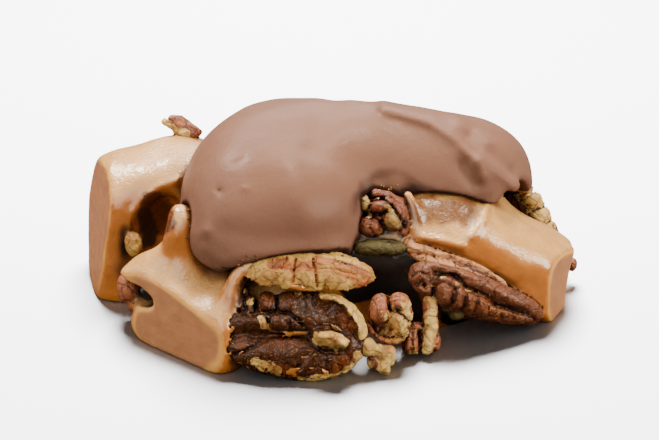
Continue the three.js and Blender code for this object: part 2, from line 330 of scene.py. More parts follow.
def marked(marks: Iterable[Mark], spots: Array, fray: Array) -> Array:
    """Gives the strongest mask of several patches."""
    return reduce(np.maximum, (mark.value(spots, fray) for mark in marks), np.zeros(len(spots)))


@dataclass(frozen=True)
class Net:
    """Draws a closed net of quads over a field's zero surface."""

    cell: float
    block: int = 4  # cells in a block of the first, coarse look
    reach: float = 1.3  # in blocks: how near the surface has to be for a finer look

    def values(self, field: Field, low: Array, high: Array) -> tuple[Array, Array]:
        """Evaluates the field on a grid, finely only near its surface.

        Args:
            field: The field.
            low: Lowest corner of the box to look in.
            high: Highest corner of the box to look in.

        Returns:
            The grid of values, and the place of its first corner.
        """
        size = self.cell * self.block
        low = low - size
        count = np.ceil((high + size - low) / size).astype(int) + 1
        coarse = field(self.grid(count) * size + low).reshape(count)
        values = coarse
        near = np.abs(coarse) < self.reach * size
        for axis in range(3):
            values = values.repeat(self.block, axis)
            near = np.logical_or(*self.neighbours(near, axis))
        values = values[tuple(slice(0, (n - 1) * self.block + 1) for n in count)]
        fine = np.zeros(values.shape, bool)
        cells = near.repeat(self.block, 0).repeat(self.block, 1).repeat(self.block, 2)
        for corner in np.ndindex(2, 2, 2):
            fine[tuple(slice(c, c + n) for c, n in zip(corner, cells.shape))] |= cells
        spots = np.argwhere(fine)
        values = values.copy()
        values[fine] = field(spots * self.cell + low)
        return values, low

    @staticmethod
    def neighbours(values: Array, axis: int) -> tuple[Array, Array]:
        """Gives all values but the last along an axis, and the ones that follow them."""
        count = values.shape[axis]
        return values.take(range(count - 1), axis), values.take(range(1, count), axis)

    @staticmethod
    def grid(count: Array) -> Array:
        """Lists every place of a grid."""
        return np.stack(np.meshgrid(*map(np.arange, count), indexing="ij"), axis=-1).reshape(-1, 3)

    def untangle(self, values: Array) -> None:
        """Closes grid squares in which only the two ends of a diagonal are inside."""
        tiny = self.cell * 1e-3
        flat = values.reshape(-1)
        index = np.arange(flat.size).reshape(values.shape)
        for _ in range(60):
            found = 0
            for axis in range(3):
                u, v = (axis + 1) % 3, (axis + 2) % 3
                corners = []
                for du, dv in SQUARE:
                    cut = [slice(None)] * 3
                    cut[u] = slice(du, values.shape[u] - 1 + du)
                    cut[v] = slice(dv, values.shape[v] - 1 + dv)
                    corners.append(index[tuple(cut)].reshape(-1))
                a, b, c, d = (flat[corner] < 0 for corner in corners)
                tangled = (a == c) & (b == d) & (a != b)
                if tangled.any():
                    square = np.stack([corner[tangled] for corner in corners])
                    nearest = np.take_along_axis(square, np.abs(flat[square]).argmin(axis=0)[None], 0)[0]
                    nearest = np.unique(nearest)
                    flat[nearest] = np.where(flat[nearest] < 0, tiny, -tiny)
                    found += int(tangled.sum())
            if not found:
                return

    def over(self, field: Field, box: Array) -> tuple[Array, Array]:
        """Draws the net.

        Args:
            field: The field.
            box: Lowest and highest corner of a box that holds the whole surface.

        Returns:
            The places of the net's corners, and its quads as rows of four of them.
        """
        values, low = self.values(field, box[0], box[1])
        self.untangle(values)
        shape = np.array(values.shape)
        places, around = [], []
        for axis in range(3):
            u, v = (axis + 1) % 3, (axis + 2) % 3
            first, second = self.neighbours(values, axis)
            spots = np.argwhere((first < 0) != (second < 0))
            one, other = first[tuple(spots.T)], second[tuple(spots.T)]
            place = spots.astype(float)
            place[:, axis] += one / (one - other)
            ring = []
            for du, dv in SQUARE:
                cell = spots.copy()
                cell[:, u] -= du
                cell[:, v] -= dv
                ring.append(np.ravel_multi_index(tuple(cell.T), tuple(shape)))
            ring = np.stack(ring, axis=1)
            outside = one >= 0
            ring[outside] = ring[outside][:, ::-1]
            places.append(place)
            around.append(ring)
        place, ring = np.concatenate(places), np.concatenate(around)
        cells, quads = np.unique(ring, return_inverse=True)
        quads = quads.reshape(-1, 4)
        amount = np.bincount(quads.reshape(-1), minlength=len(cells))
        totals = [np.bincount(quads.reshape(-1), np.repeat(place[:, i], 4), len(cells)) for i in range(3)]
        corners = np.stack(totals, axis=1) / amount[:, None]
        return self.settled(field, corners * self.cell + low), quads

    def slopes(self, field: Field, points: Array) -> Array:
        """Gives which way, and how fast, the field rises at points."""
        step = self.cell / 4
        ways = np.array(((1, -1, -1), (-1, -1, 1), (-1, 1, -1), (1, 1, 1)))
        return sum(way * field(points + step * way)[:, None] for way in ways) / (4 * step)

    def settled(self, field: Field, points: Array) -> Array:
        """Moves points near the surface onto it."""
        for _ in range(2):
            slope = self.slopes(field, points)
            move = -field(points) / np.maximum((slope**2).sum(axis=1), 0.3)
            points = points + slope * np.clip(move, -self.cell / 3, self.cell / 3)[:, None]
        return points

    def outwards(self, field: Field, points: Array) -> Array:
        """Gives the way that the surface looks at points."""
        slope = self.slopes(field, points)
        return slope / np.maximum(np.linalg.norm(slope, axis=1, keepdims=True), 1e-6)


def drawn(cell: float, field: Field, box: Array) -> tuple[Array, Array, Array]:
    """Args:
        cell: Size of the net's quads, in millimetres.
        field: The field.
        box: Lowest and highest corner of a box that holds the whole surface.

    Returns:
        The places of the net's corners, its quads, and the way that the surface looks at each corner.
    """
    net = Net(cell * (1))
    corners, quads = net.over(field, box)
    return corners, quads, net.outwards(field, corners)


def hollow_shade(field: Field, points: Array, outwards: Array, reach: float) -> Array:
    """Gives how deep points lie in a hollow, the measure by which shade is painted: 0 in the open, 1 where a
    wall is near in front of them.
    """
    return np.clip(1 - field(points + outwards * reach) / reach, 0, 1)


def holding(boxes: Iterable[Sequence[Array]]) -> Array:
    """Gives the box that holds several, each its lowest and highest corner."""
    lows, highs = zip(*boxes)
    return np.array((np.min(lows, axis=0), np.max(highs, axis=0)))


def add_object(name: str, data: bpy.types.ID) -> Object:
    """Adds an object to the scene."""
    made = bpy.data.objects.new(name, data)
    bpy.context.scene.collection.objects.link(made)
    return made


def make_piece(name: str, corners: Array, quads: Array, masks: dict[str, Array], finish: Material) -> Object:
    """Makes a Blender object of a net.

    Args:
        name: Name of the object.
        corners: Places of the net's corners, in millimetres.
        quads: The net's quads.
        masks: Values for every corner, which the finishes read, by name.
        finish: Its material.

    Returns:
        The object, at the origin, with its place in its mesh.
    """
    mesh = bpy.data.meshes.new(name)
    mesh.vertices.add(len(corners))
    mesh.vertices.foreach_set("co", ((corners - np.array(CENTRE)) * MM).astype(np.float32).reshape(-1))
    mesh.loops.add(quads.size)
    mesh.loops.foreach_set("vertex_index", quads.reshape(-1).astype(np.int32))
    mesh.polygons.add(len(quads))
    mesh.polygons.foreach_set("loop_start", np.arange(0, quads.size, 4, dtype=np.int32))
    mesh.update(calc_edges=True)
    mesh.validate()
    for mask, values in masks.items():
        layer = mesh.attributes.new(mask, "FLOAT", "POINT")
        layer.data.foreach_set("value", values.astype(np.float32))
    mesh.shade_smooth()
    mesh.materials.append(finish)
    return add_object(name, mesh)


class Nodes:
    """Adds nodes to a tree and joins them up."""

    def __init__(self, tree: Tree) -> None:
        self.tree = tree

    def add(self, kind: str, inputs: Inputs | None = None, **settings: object) -> Node:
        """Adds a node.

        Args:
            kind: The node's type.
            inputs: What its sockets get, by name or number: a value, or a socket to join.
            **settings: The node's own settings.

        Returns:
            The node.
        """
        node = self.tree.nodes.new(kind)
        for name, value in settings.items():
            setattr(node, name, value)
        for name, value in (inputs or {}).items():
            if isinstance(value, Socket):
                self.tree.links.new(value, node.inputs[name])
            else:
                node.inputs[name].default_value = value
        return node

    def mask(self, name: str) -> Socket:
        """Reads one of the piece's masks."""
        return self.add("ShaderNodeAttribute", attribute_name=name).outputs["Fac"]

    def maths(self, operation: str, *values: object) -> Socket:
        """Works out one number."""
        return self.add("ShaderNodeMath", dict(enumerate(values)), operation=operation).outputs[0]

    def between(self, value: object, low: float, high: float, start: float = 0.0, end: float = 1.0) -> Socket:
        """Maps a value from one span to another, smoothly."""
        inputs = {"Value": value, "From Min": low, "From Max": high, "To Min": start, "To Max": end}
        return self.add("ShaderNodeMapRange", inputs, interpolation_type="SMOOTHSTEP").outputs[0]

    def vectors(self, operation: str, *values: object) -> Socket:
        """Works out one vector."""
        return self.add("ShaderNodeVectorMath", dict(enumerate(values)), operation=operation).outputs[0]

    def where(self) -> Socket:
        """Gives the place of the shaded point in its piece."""
        return self.add("ShaderNodeTexCoord").outputs["Object"]

    def scale(self, size: object) -> Socket:
        """Gives the scale at which a texture's features are of a size in millimetres."""
        return self.maths("DIVIDE", 1 / MM, size)

    def mixed(self, share: object, one: object, other: object, blend: str = "MIX") -> Socket:
        """Mixes two colours, each a socket, a value or a written colour."""
        colours = [srgb(colour) if isinstance(colour, str) else colour for colour in (one, other)]
        inputs = {0: share, 6: colours[0], 7: colours[1]}
        return self.add("ShaderNodeMix", inputs, data_type="RGBA", blend_type=blend).outputs[2]

    def group(self, tree: Tree, inputs: Inputs) -> bpy.types.bpy_prop_collection:
        """Places a group, and gives its outputs."""
        return self.add("ShaderNodeGroup", inputs, node_tree=tree).outputs


def srgb(code: str) -> tuple[float, float, float, float]:
    """Turns a written colour into the values that Blender's colours have."""
    shares = [int(code[i : i + 2], 16) / 255 for i in (0, 2, 4)]
    red, green, blue = (s / 12.92 if s <= 0.04045 else ((s + 0.055) / 1.055) ** 2.4 for s in shares)
    return red, green, blue, 1.0


class Groups:
    """The effects that more than one finish uses, each built once as a node group."""

    def __init__(self) -> None:
        self.cloud = self.build_cloud()
        self.grain = self.build_grain()
        self.cracks = self.build_cracks()

    @staticmethod
    def start(name: str, inputs: dict[str, float], outputs: Iterable[str]) -> tuple:
        """Starts a group with number sockets.

        Args:
            name: Name of the group.
            inputs: Its inputs and their usual values.
            outputs: Its outputs.

        Returns:
            The group's nodes, what it is given and what it gives.
        """
        tree = bpy.data.node_groups.new(name, "ShaderNodeTree")
        for socket, value in inputs.items():
            made = tree.interface.new_socket(socket, in_out="INPUT", socket_type="NodeSocketFloat")
            made.default_value = value
        for socket in outputs:
            tree.interface.new_socket(socket, in_out="OUTPUT", socket_type="NodeSocketFloat")
        nodes = Nodes(tree)
        return nodes, nodes.add("NodeGroupInput").outputs, nodes.add("NodeGroupOutput").inputs

    def build_cloud(self) -> Tree:
        """Builds soft clouds of lighter and darker places, and finer ones inside them."""
        nodes, given, result = self.start("clouds", {"Size": 3.0, "Shift": 0.0}, ("Broad", "Fine"))
        where = nodes.where()
        moved = nodes.vectors("ADD", where, given["Shift"])
        scale = nodes.scale(given["Size"])
        finer = nodes.maths("MULTIPLY", scale, 4.0)
        for socket, size, detail in (("Broad", scale, 3.0), ("Fine", finer, 4.0)):
            inputs = {"Vector": moved, "Scale": size, "Detail": detail, "Distortion": 0.4}
            noise = nodes.add("ShaderNodeTexNoise", inputs)
            nodes.tree.links.new(noise.outputs["Fac"], result[socket])
        return nodes.tree

    def build_cracks(self) -> Tree:
        """Builds thin cracks that wander round cells of about the given size."""
        nodes, given, result = self.start("cracks", {"Size": 2.0, "Wide": 0.06}, ("Line",))
        where = nodes.where()
        scale = nodes.scale(given["Size"])
        inputs = {"Vector": where, "Scale": scale, "Detail": 3.0}
        sway = nodes.add("ShaderNodeTexNoise", inputs).outputs["Color"]
        bent = nodes.vectors("MULTIPLY_ADD", sway, (0.0016, 0.0016, 0.0016), where)
        inputs = {"Vector": bent, "Scale": scale}
        cells = nodes.add("ShaderNodeTexVoronoi", inputs, feature="DISTANCE_TO_EDGE")
        span = {"From Min": 0.0, "From Max": given["Wide"], "To Min": 1.0, "To Max": 0.0}
        line = nodes.add("ShaderNodeMapRange", {"Value": cells.outputs["Distance"], **span}).outputs[0]
        nodes.tree.links.new(line, result["Line"])
        return nodes.tree

    def build_grain(self) -> Tree:
        """Builds a fine grain of height, with pits at about its own size."""
        nodes, given, result = self.start("grain", {"Size": 0.4, "Pits": 0.3, "Stretch": 1.0}, ("Height",))
        where = nodes.where()
        stretch = nodes.add("ShaderNodeCombineXYZ", {0: given["Stretch"], 1: 1.0, 2: 1.0}).outputs[0]
        long = nodes.vectors("MULTIPLY", where, stretch)
        scale = nodes.scale(given["Size"])
        inputs = {"Vector": long, "Scale": scale, "Detail": 3.0, "Roughness": 0.6}
        noise = nodes.add("ShaderNodeTexNoise", inputs)
        pits = nodes.add("ShaderNodeTexVoronoi", {"Vector": long, "Scale": scale})
        hole = nodes.between(pits.outputs["Distance"], 0.0, 0.45, -1.0, 0.0)
        deep = nodes.maths("MULTIPLY", hole, given["Pits"])
        height = nodes.maths("ADD", noise.outputs["Fac"], deep)
        nodes.tree.links.new(height, result["Height"])
        return nodes.tree


@dataclass(frozen=True)
class Finish:
    """What every finish has: the Principled shader's own settings that are the same all over."""

    name: str
    coat: float = 0.0
    coat_roughness: float = 0.1
    under: float = 0.0  # how much light goes in under the surface
    under_reach: Triple = (1.0, 0.4, 0.2)
    under_depth: float = 1.0  # millimetres
    shine: float = 0.5
    sheen: Triple = (1.0, 0.8, 0.6)  # colour of the gloss

    def start(self) -> tuple[Material, Nodes, Node]:
        """Starts the material, with its shader set up.

        Returns:
            The material, its nodes and its Principled shader.
        """
        material = bpy.data.materials.new(self.name)
        material.use_nodes = True
        shader = material.node_tree.nodes["Principled BSDF"]
        shader.inputs["Coat Weight"].default_value = self.coat
        shader.inputs["Coat Roughness"].default_value = self.coat_roughness
        shader.inputs["Subsurface Weight"].default_value = self.under
        shader.inputs["Subsurface Radius"].default_value = self.under_reach
        shader.inputs["Subsurface Scale"].default_value = self.under_depth * MM
        shader.inputs["Specular IOR Level"].default_value = self.shine
        shader.inputs["Specular Tint"].default_value = (*self.sheen, 1)
        return material, Nodes(material.node_tree), shader

    @staticmethod
    def bumped(nodes: Nodes, heights: Heights) -> Socket:
        """Stacks bumps, each a height from 0 to 1 and how high that is in millimetres."""
        normal: object = None
        for height, high in heights:
            inputs = {"Height": height, "Distance": high * MM, "Strength": 1.0}
            if normal is not None:
                inputs["Normal"] = normal
            normal = nodes.add("ShaderNodeBump", inputs).outputs["Normal"]
        return normal

    def join(self, nodes: Nodes, shader: Node, colour: Socket, rough: Socket, heights: Heights) -> None:
        """Joins what was worked out to the shader.

        Args:
            nodes: The material's nodes.
            shader: Its shader.
            colour: The colour.
            rough: How rough the gloss is.
            heights: The bumps, as for bumped.
        """
        links = nodes.tree.links
        links.new(colour, shader.inputs["Base Color"])
        links.new(rough, shader.inputs["Roughness"])
        links.new(self.bumped(nodes, heights), shader.inputs["Normal"])


@dataclass(frozen=True)
class CaramelFinish(Finish):
    """Soft caramel: amber where clean or thin, a painted lighter tan on top where light falls, painted shade
    in its hollows, matt and pinkish where cut.
    """

    name: str = "caramel"
    under: float = 0.3
    under_reach: Triple = (1.0, 0.4, 0.15)
    under_depth: float = 1.6
    shine: float = 0.6
    sheen: Triple = (1.0, 0.88, 0.72)
    amber: str = "a66025"
    # painted shade: the near black of the hollows
    deep: str = "0e0502"
    # painted shade: the brown of caramel in the shade of the chocolate
    shade: str = "5a2d10"
    # painted light: the lighter tan that tops take where light falls on them
    lit_tan: str = "bb874b"
    cut: str = "a0673f"
    rim: str = "cd8f42"

    def make(self, groups: Groups) -> Material:
        """Makes the material."""
        material, nodes, shader = self.start()
        cloud = nodes.group(groups.cloud, {"Size": 9.0, "Shift": 0.013})
        # Painted light: up-facing tops turn a lighter tan where light falls; the same mask also sets their
        # film
        film_and_top_light = nodes.maths("ADD", nodes.mask("film_and_top_light"), nodes.between(cloud["Broad"], 0.3, 0.7, -0.2, 0.2))
        colour = nodes.mixed(nodes.between(film_and_top_light, 0.15, 0.95), self.amber, self.lit_tan)
        colour = nodes.mixed(nodes.between(nodes.mask("eaves_shade"), 0.3, 1.0), colour, self.shade)
        colour = nodes.mixed(nodes.between(nodes.mask("hollow_shade"), 0.25, 0.85), colour, self.deep)
        face = nodes.mixed(nodes.between(nodes.mask("rim"), 0.1, 0.9), self.cut, self.rim)
        colour = nodes.mixed(nodes.mask("cut"), colour, face)
        dapple = nodes.between(cloud["Fine"], 0.3, 0.7, 0.9, 1.06)
        shade = nodes.add("ShaderNodeCombineColor", {0: dapple, 1: dapple, 2: dapple}).outputs[0]
        colour = nodes.mixed(1.0, colour, shade, "MULTIPLY")
        gloss = nodes.between(cloud["Fine"], 0.3, 0.7, 0.13, 0.22)
        matt = nodes.maths("MAXIMUM", nodes.mask("cut"), nodes.mask("hollow_shade"))
        rough = nodes.maths("ADD", gloss, nodes.maths("MULTIPLY", matt, 0.35))
        fine = nodes.group(groups.grain, {"Size": 0.45, "Pits": 0.4, "Stretch": 0.6})
        film = nodes.maths("MULTIPLY", fine["Height"], nodes.between(film_and_top_light, 0.4, 1.0, 0.15, 1.0))
        soft = nodes.group(groups.grain, {"Size": 1.6, "Pits": 0.0, "Stretch": 1.0})
        self.join(nodes, shader, colour, rough, ((soft["Height"], 0.1), (film, 0.1)))
        return material


@dataclass(frozen=True)
class ChocolateFinish(Finish):
    """Satin milk chocolate with faint bloom, and painted shade in its hollows and under its lip."""

    name: str = "milk chocolate"
    under: float = 0.08
    under_reach: Triple = (1.0, 0.5, 0.3)
    under_depth: float = 0.8
    shine: float = 0.07
    sheen: Triple = (1.0, 0.75, 0.55)
    brown: str = "694735"
    # painted shade: the dark brown of hollows and of the lip's underside
    deep: str = "261611"
    bloom: str = "6e4b3a"

    def make(self, groups: Groups) -> Material:
        """Makes the material."""
        material, nodes, shader = self.start()
        cloud = nodes.group(groups.cloud, {"Size": 12.0, "Shift": 0.031})
        colour = nodes.mixed(nodes.between(cloud["Broad"], 0.35, 0.7, 0.0, 0.5), self.brown, self.bloom)
        colour = nodes.mixed(nodes.between(nodes.mask("hollow_shade"), 0.2, 0.9), colour, self.deep)
        rough = nodes.between(cloud["Broad"], 0.3, 0.7, 0.34, 0.44)
        fine = nodes.group(groups.grain, {"Size": 0.35, "Pits": 0.2, "Stretch": 1.0})
        soft = nodes.group(groups.grain, {"Size": 2.4, "Pits": 0.0, "Stretch": 1.0})
        self.join(nodes, shader, colour, rough, ((soft["Height"], 0.12), (fine["Height"], 0.01)))
        return material


@dataclass(frozen=True)
class PecanFinish(Finish):
    """Pecan: brown skin, darkened by painted shade in its creases and pale on its crests, over cream flesh.
    """

    name: str = "pecan"
    under: float = 0.12
    under_reach: Triple = (1.0, 0.5, 0.25)
    under_depth: float = 0.7
    shine: float = 0.3
    crest: str = "7a452a"
    skin: str = "5f3019"
    # painted shade: the near black deep in the creases
    crease_shade: str = "120704"
    # the skin's own orange patches, and painted glow where light shines through the skin
    orange_and_glow: str = "7c3c12"
    flesh: str = "b8924e"
    toast: str = "966129"
    # dark specks and cracks in the flesh, and the painted shade of its creases
    speck: str = "3c1b0b"
    gloss: float = 0.42
    scuff: float = 0.45  # share of pale flecks on the skin's crests

    def make(self, groups: Groups) -> Material:
        """Makes the material."""
        material, nodes, shader = self.start()
        cloud = nodes.group(groups.cloud, {"Size": 2.6, "Shift": 0.007})
        sway = nodes.between(cloud["Fine"], 0.3, 0.75, -0.15, 0.15)
        # Painted shade: skin and flesh darken towards the creases, where the crease mask is high
        crease_shade = nodes.maths("ADD", nodes.mask("crease_shade"), sway)
        skin = nodes.mixed(nodes.between(crease_shade, 0.0, 0.45), self.crest, self.skin)
        skin = nodes.mixed(nodes.mask("orange_and_glow"), skin, self.orange_and_glow)
        flecks = nodes.group(groups.cloud, {"Size": 0.8, "Shift": 0.019})
        pale = nodes.between(flecks["Fine"], 0.58, 0.7)
        scuffed = nodes.maths("MULTIPLY", pale, nodes.between(crease_shade, 0.05, 0.4, self.scuff, 0.0))
        skin = nodes.mixed(scuffed, skin, self.flesh)
        cracks = nodes.group(groups.cracks, {"Size": 2.6, "Wide": 0.07})
        skin = nodes.mixed(nodes.maths("MULTIPLY", cracks["Line"], 0.6), skin, self.crease_shade)
        skin = nodes.mixed(nodes.between(crease_shade, 0.4, 0.95), skin, self.crease_shade)
        toast = nodes.between(cloud["Broad"], 0.42, 0.68, 0.0, 0.75)
        flesh = nodes.mixed(toast, self.flesh, self.toast)
        flesh = nodes.mixed(nodes.between(cloud["Fine"], 0.66, 0.74, 0.0, 0.8), flesh, self.speck)
        flesh = nodes.mixed(nodes.maths("MULTIPLY", cracks["Line"], 0.45), flesh, self.speck)
        flesh = nodes.mixed(nodes.between(crease_shade, 0.35, 0.9), flesh, self.speck)
        flesh = nodes.mixed(nodes.mask("orange_and_glow"), flesh, self.orange_and_glow)
        frayed = nodes.maths("ADD", nodes.mask("cream"), nodes.between(cloud["Fine"], 0.3, 0.7, -0.25, 0.25))
        cream = nodes.between(frayed, 0.35, 0.65)
        rough = nodes.maths("ADD", self.gloss, nodes.maths("MULTIPLY", cream, 0.2))
        fine = nodes.group(groups.grain, {"Size": 0.3, "Pits": 0.5, "Stretch": 0.5})
        soft = nodes.group(groups.grain, {"Size": 0.9, "Pits": 0.4, "Stretch": 0.6})
        split = nodes.maths("SUBTRACT", 1.0, cracks["Line"])
        heights = ((soft["Height"], 0.12), (split, 0.08), (fine["Height"], 0.06))
        self.join(nodes, shader, nodes.mixed(cream, skin, flesh), rough, heights)
        return material


class PecanTone(Enum):
    """The looks of pecan skin on the cluster."""

    DARK = PecanFinish(
        name="pecan dark",
        crest="3d1b0b",
        skin="270f06",
        crease_shade="060201",
        orange_and_glow="58240a",
        gloss=0.34,
        shine=0.18,
        coat=0.12,
        coat_roughness=0.3,
    )
    WARM = PecanFinish(name="pecan warm", crest="633521", skin="4e2714", crease_shade="120704")
    # painted shade: a darker copy of the rose tone for the bit under the chocolate's lip
    ROSE_IN_SHADE = PecanFinish(
        name="pecan rose_in_shade",
        crest="6e3722",
        skin="4e2415",
        crease_shade="120503",
        flesh="8f6d38",
        toast="6c4420",
        orange_and_glow="6a321a",
    )
    ROSE = PecanFinish(name="pecan rose", crest="85492f", skin="5f2f1e", crease_shade="180905", orange_and_glow="8a4a26")
    GOLD = PecanFinish(
        name="pecan gold", crest="8a4e24", skin="6d3817", flesh="a57c3a", toast="7d4c1c", speck="421f0a"
    )
    # painted light: a lighter copy of the skin for the inner half, which lies in shade
    TAN = PecanFinish(name="pecan tan", crest="b67b50", skin="a5683f", crease_shade="3a1a0d", scuff=0.1)
    # painted shade: a darker, greener copy of the flesh for bits that lie in shade
    OLIVE_IN_SHADE = PecanFinish(name="pecan olive_in_shade", flesh="443b1a", toast="2f2912", skin="2c2010")


@dataclass(frozen=True)
class Half:
    """Where a whole pecan half lies and how large it is."""

    at: Triple
    length: float
    width: float
    back: float
    face: float
    tip: Triple
    back_way: Triple

    def local(self, points: Array) -> Array:
        """Turns points into the half's own frame: X to the pointed end, Z to the ridged back."""
        x = np.array(self.tip) / np.linalg.norm(self.tip)
        y = np.cross(self.back_way, x)
        y /= np.linalg.norm(y)
        return (points - np.array(self.at)) @ np.stack((x, y, np.cross(x, y)), axis=1)


@dataclass(frozen=True)
class Pecan:
    """One piece of pecan: a whole half, or a broken bit made of knobs and strips."""

    node: str
    tone: PecanTone
    cell: float
    strokes: tuple[Stroke, ...] = ()
    cream: tuple[Mark, ...] = ()
    skin: tuple[Mark, ...] = ()
    # orange patches: partly the skin's own colour, partly painted glow and highlight
    orange_and_glow: tuple[Mark, ...] = ()
    bare: float = 0.0  # share of cream flesh where no mark says otherwise
    rough: float = 0.1  # height of the wrinkles, in millimetres
    lumps: tuple[Knob | Strip, ...] = ()
    blend: float = 0.5

    @property
    def box(self) -> Array:
        """The lowest and highest corner of a box that holds the piece."""
        raise NotImplementedError

    def body(self, points: Array) -> Array:
        """Gives the field of the smooth body, without relief."""
        raise NotImplementedError

    def relief(self, points: Array) -> Array:
        """Gives what the natural form takes off the smooth body."""
        raise NotImplementedError

    def lumped(self, points: Array) -> Array:
        """Gives the field of the piece's lumps."""
        spots = VIEW.spots(points)
        return blended((lump.value(spots) for lump in self.lumps), self.blend)

    def near(self, points: Array) -> Array:
        """Gives the body's field, worked out only for points near the piece."""
        low, high = self.box
        close = ((points > low - 3) & (points < high + 3)).all(axis=1)
        values = np.full(len(points), FAR)
        values[close] = self.body(points[close])
        return values

    def front(self, spots: Array) -> Array:
        """Gives 1 on the side that looks to the front, and 0 on the other."""
        middle = VIEW.spots(self.box.mean(axis=0)[None])[0, 2]
        return smoothstep(spots[:, 2] - middle, -1.6, 0.4)

    def creamy(self, points: Array) -> Array:
        """Gives where the cream flesh shows."""
        spots = crooked(points)
        fray = NOISE.rough(points, 1.4, 3)
        cream = np.maximum(self.bare, marked(self.cream, spots, fray))
        return cream * (1 - marked(self.skin, spots, fray)) if self.skin else cream

    def value(self, points: Array) -> Array:
        """Gives the piece's field, with all its relief."""
        values = self.body(points)
        close = np.abs(values) < 2
        some = points[close]
        spots = crooked(some)
        worked = sum((stroke.value(spots) for stroke in self.strokes), np.zeros(len(some)))
        chunks = 0.3 * np.abs(NOISE.at(some + 31, 1.7)) + 0.14 * np.abs(NOISE.at(some + 57, 0.7)) - 0.12
        fine = 0.05 * NOISE.at(some, 0.45)
        values[close] += self.relief(some) + worked * self.front(spots) + chunks * self.creamy(some) + fine
        return np.maximum(values, 0.02 - points[:, 2])

    def make(self, tones: dict[PecanTone, Material]) -> Object:
        """Makes the piece and gives it its finish."""
        corners, quads, outwards = drawn(self.cell, self.value, self.box)
        spots = crooked(corners)
        fray = NOISE.rough(corners, 1.4, 3)
        # Painted shade: how deep each corner lies in a hollow darkens its creases
        fine, broad = (hollow_shade(self.value, corners, outwards, reach) for reach in (0.35, 1.1))
        masks = {
            "crease_shade": np.clip(0.75 * fine + 0.6 * broad, 0, 1),
            "cream": self.creamy(corners),
            "orange_and_glow": marked(self.orange_and_glow, spots, fray),
        }
        return make_piece(self.node + "_piece", corners, quads, masks, tones[self.tone])


@dataclass(frozen=True)
class PecanHalf(Pecan):
    """A whole half: two grooves along the ridged back, one along the face, and folded sides."""

    half: Half | None = None
    power: float = 2.4
    taper: float = 0.16
    blunting: float = 0.08
    lobe: float = 2.9  # length of a fold in the side
    folded: float = 0.55  # how deep the folds in the side are

    @property
    def box(self) -> Array:
        """The lowest and highest corner of a box that holds the half."""
        at = np.array(self.half.at)
        x = np.abs(np.array(self.half.tip)) / np.linalg.norm(self.half.tip)
        far = self.half.length / 2 * x + self.half.width / 2 * np.sqrt(1 - x * x) + 1
        return holding([(at - far, at + far), *(lump.box for lump in self.lumps)])

    def shaped(self, points: Array) -> tuple[Array, Array, Array]:
        """Gives the half's own frame, straightened, with the shares along and to the side."""
        local = self.half.local(points)
        along = np.clip(2 * local[:, 0] / self.half.length, -1, 1)
        local[:, 1] /= 1 - self.taper * along - self.blunting * along * along
        return local, along, 2 * np.abs(local[:, 1]) / self.half.width

    def body(self, points: Array) -> Array:
        """Gives the field of the smooth half."""
        local, along, side = self.shaped(points)
        halves = np.full((len(points), 3), (self.half.length / 2, self.half.width / 2, 0.0))
        halves[:, 2] = np.where(local[:, 2] > 0, self.half.back, self.half.face)
        body = rounded(local, halves, self.power)
        if self.lumps:
            body = soft_min(body, self.lumped(points), self.blend)
        groove = np.where(
            local[:, 2] > 0,
            0.16 * self.half.back * np.exp(-(((side - 0.45) / 0.16) ** 2)),
            0.5 * self.half.face * np.exp(-((side / 0.2) ** 2)),
        )
        return body + (1 - along**4) * groove

    def relief(self, points: Array) -> Array:
        """Gives the sharp grooves, the folds in the sides and the fine wrinkles."""
        local, along, side = self.shaped(points)
        sway = 0.9 * NOISE.at(local, 4.5)
        phase = math.pi * (local[:, 0] + sway + 0.6 * np.sign(local[:, 1])) / self.lobe
        notch = (1 - np.abs(np.sin(phase))) ** 3
        sides = notch * smoothstep(side, 0.42, 0.75)
        back = smoothstep(local[:, 2], -0.4, 0.6)
        groove = np.exp(-(((side - 0.45 - 0.05 * sway) / 0.055) ** 2))
        wrinkles = NOISE.ridged(local, (2.6, 0.9, 1.2)) - 0.3
        ends = 1 - along**4
        return ends * (self.folded * sides + 0.35 * groove * back) + self.rough * wrinkles


@dataclass(frozen=True)
class PecanBit(Pecan):
    """A broken bit, made of knobs and strips that are placed in the front view."""

    @property
    def box(self) -> Array:
        """The lowest and highest corner of a box that holds the bit."""
        return holding(lump.box for lump in self.lumps)

    def body(self, points: Array) -> Array:
        """Gives the field of the smooth bit."""
        return self.lumped(points)

    def relief(self, points: Array) -> Array:
        """Gives the fine wrinkles."""
        return self.rough * (NOISE.ridged(points, (1.3, 1.0, 2.0)) - 0.3)


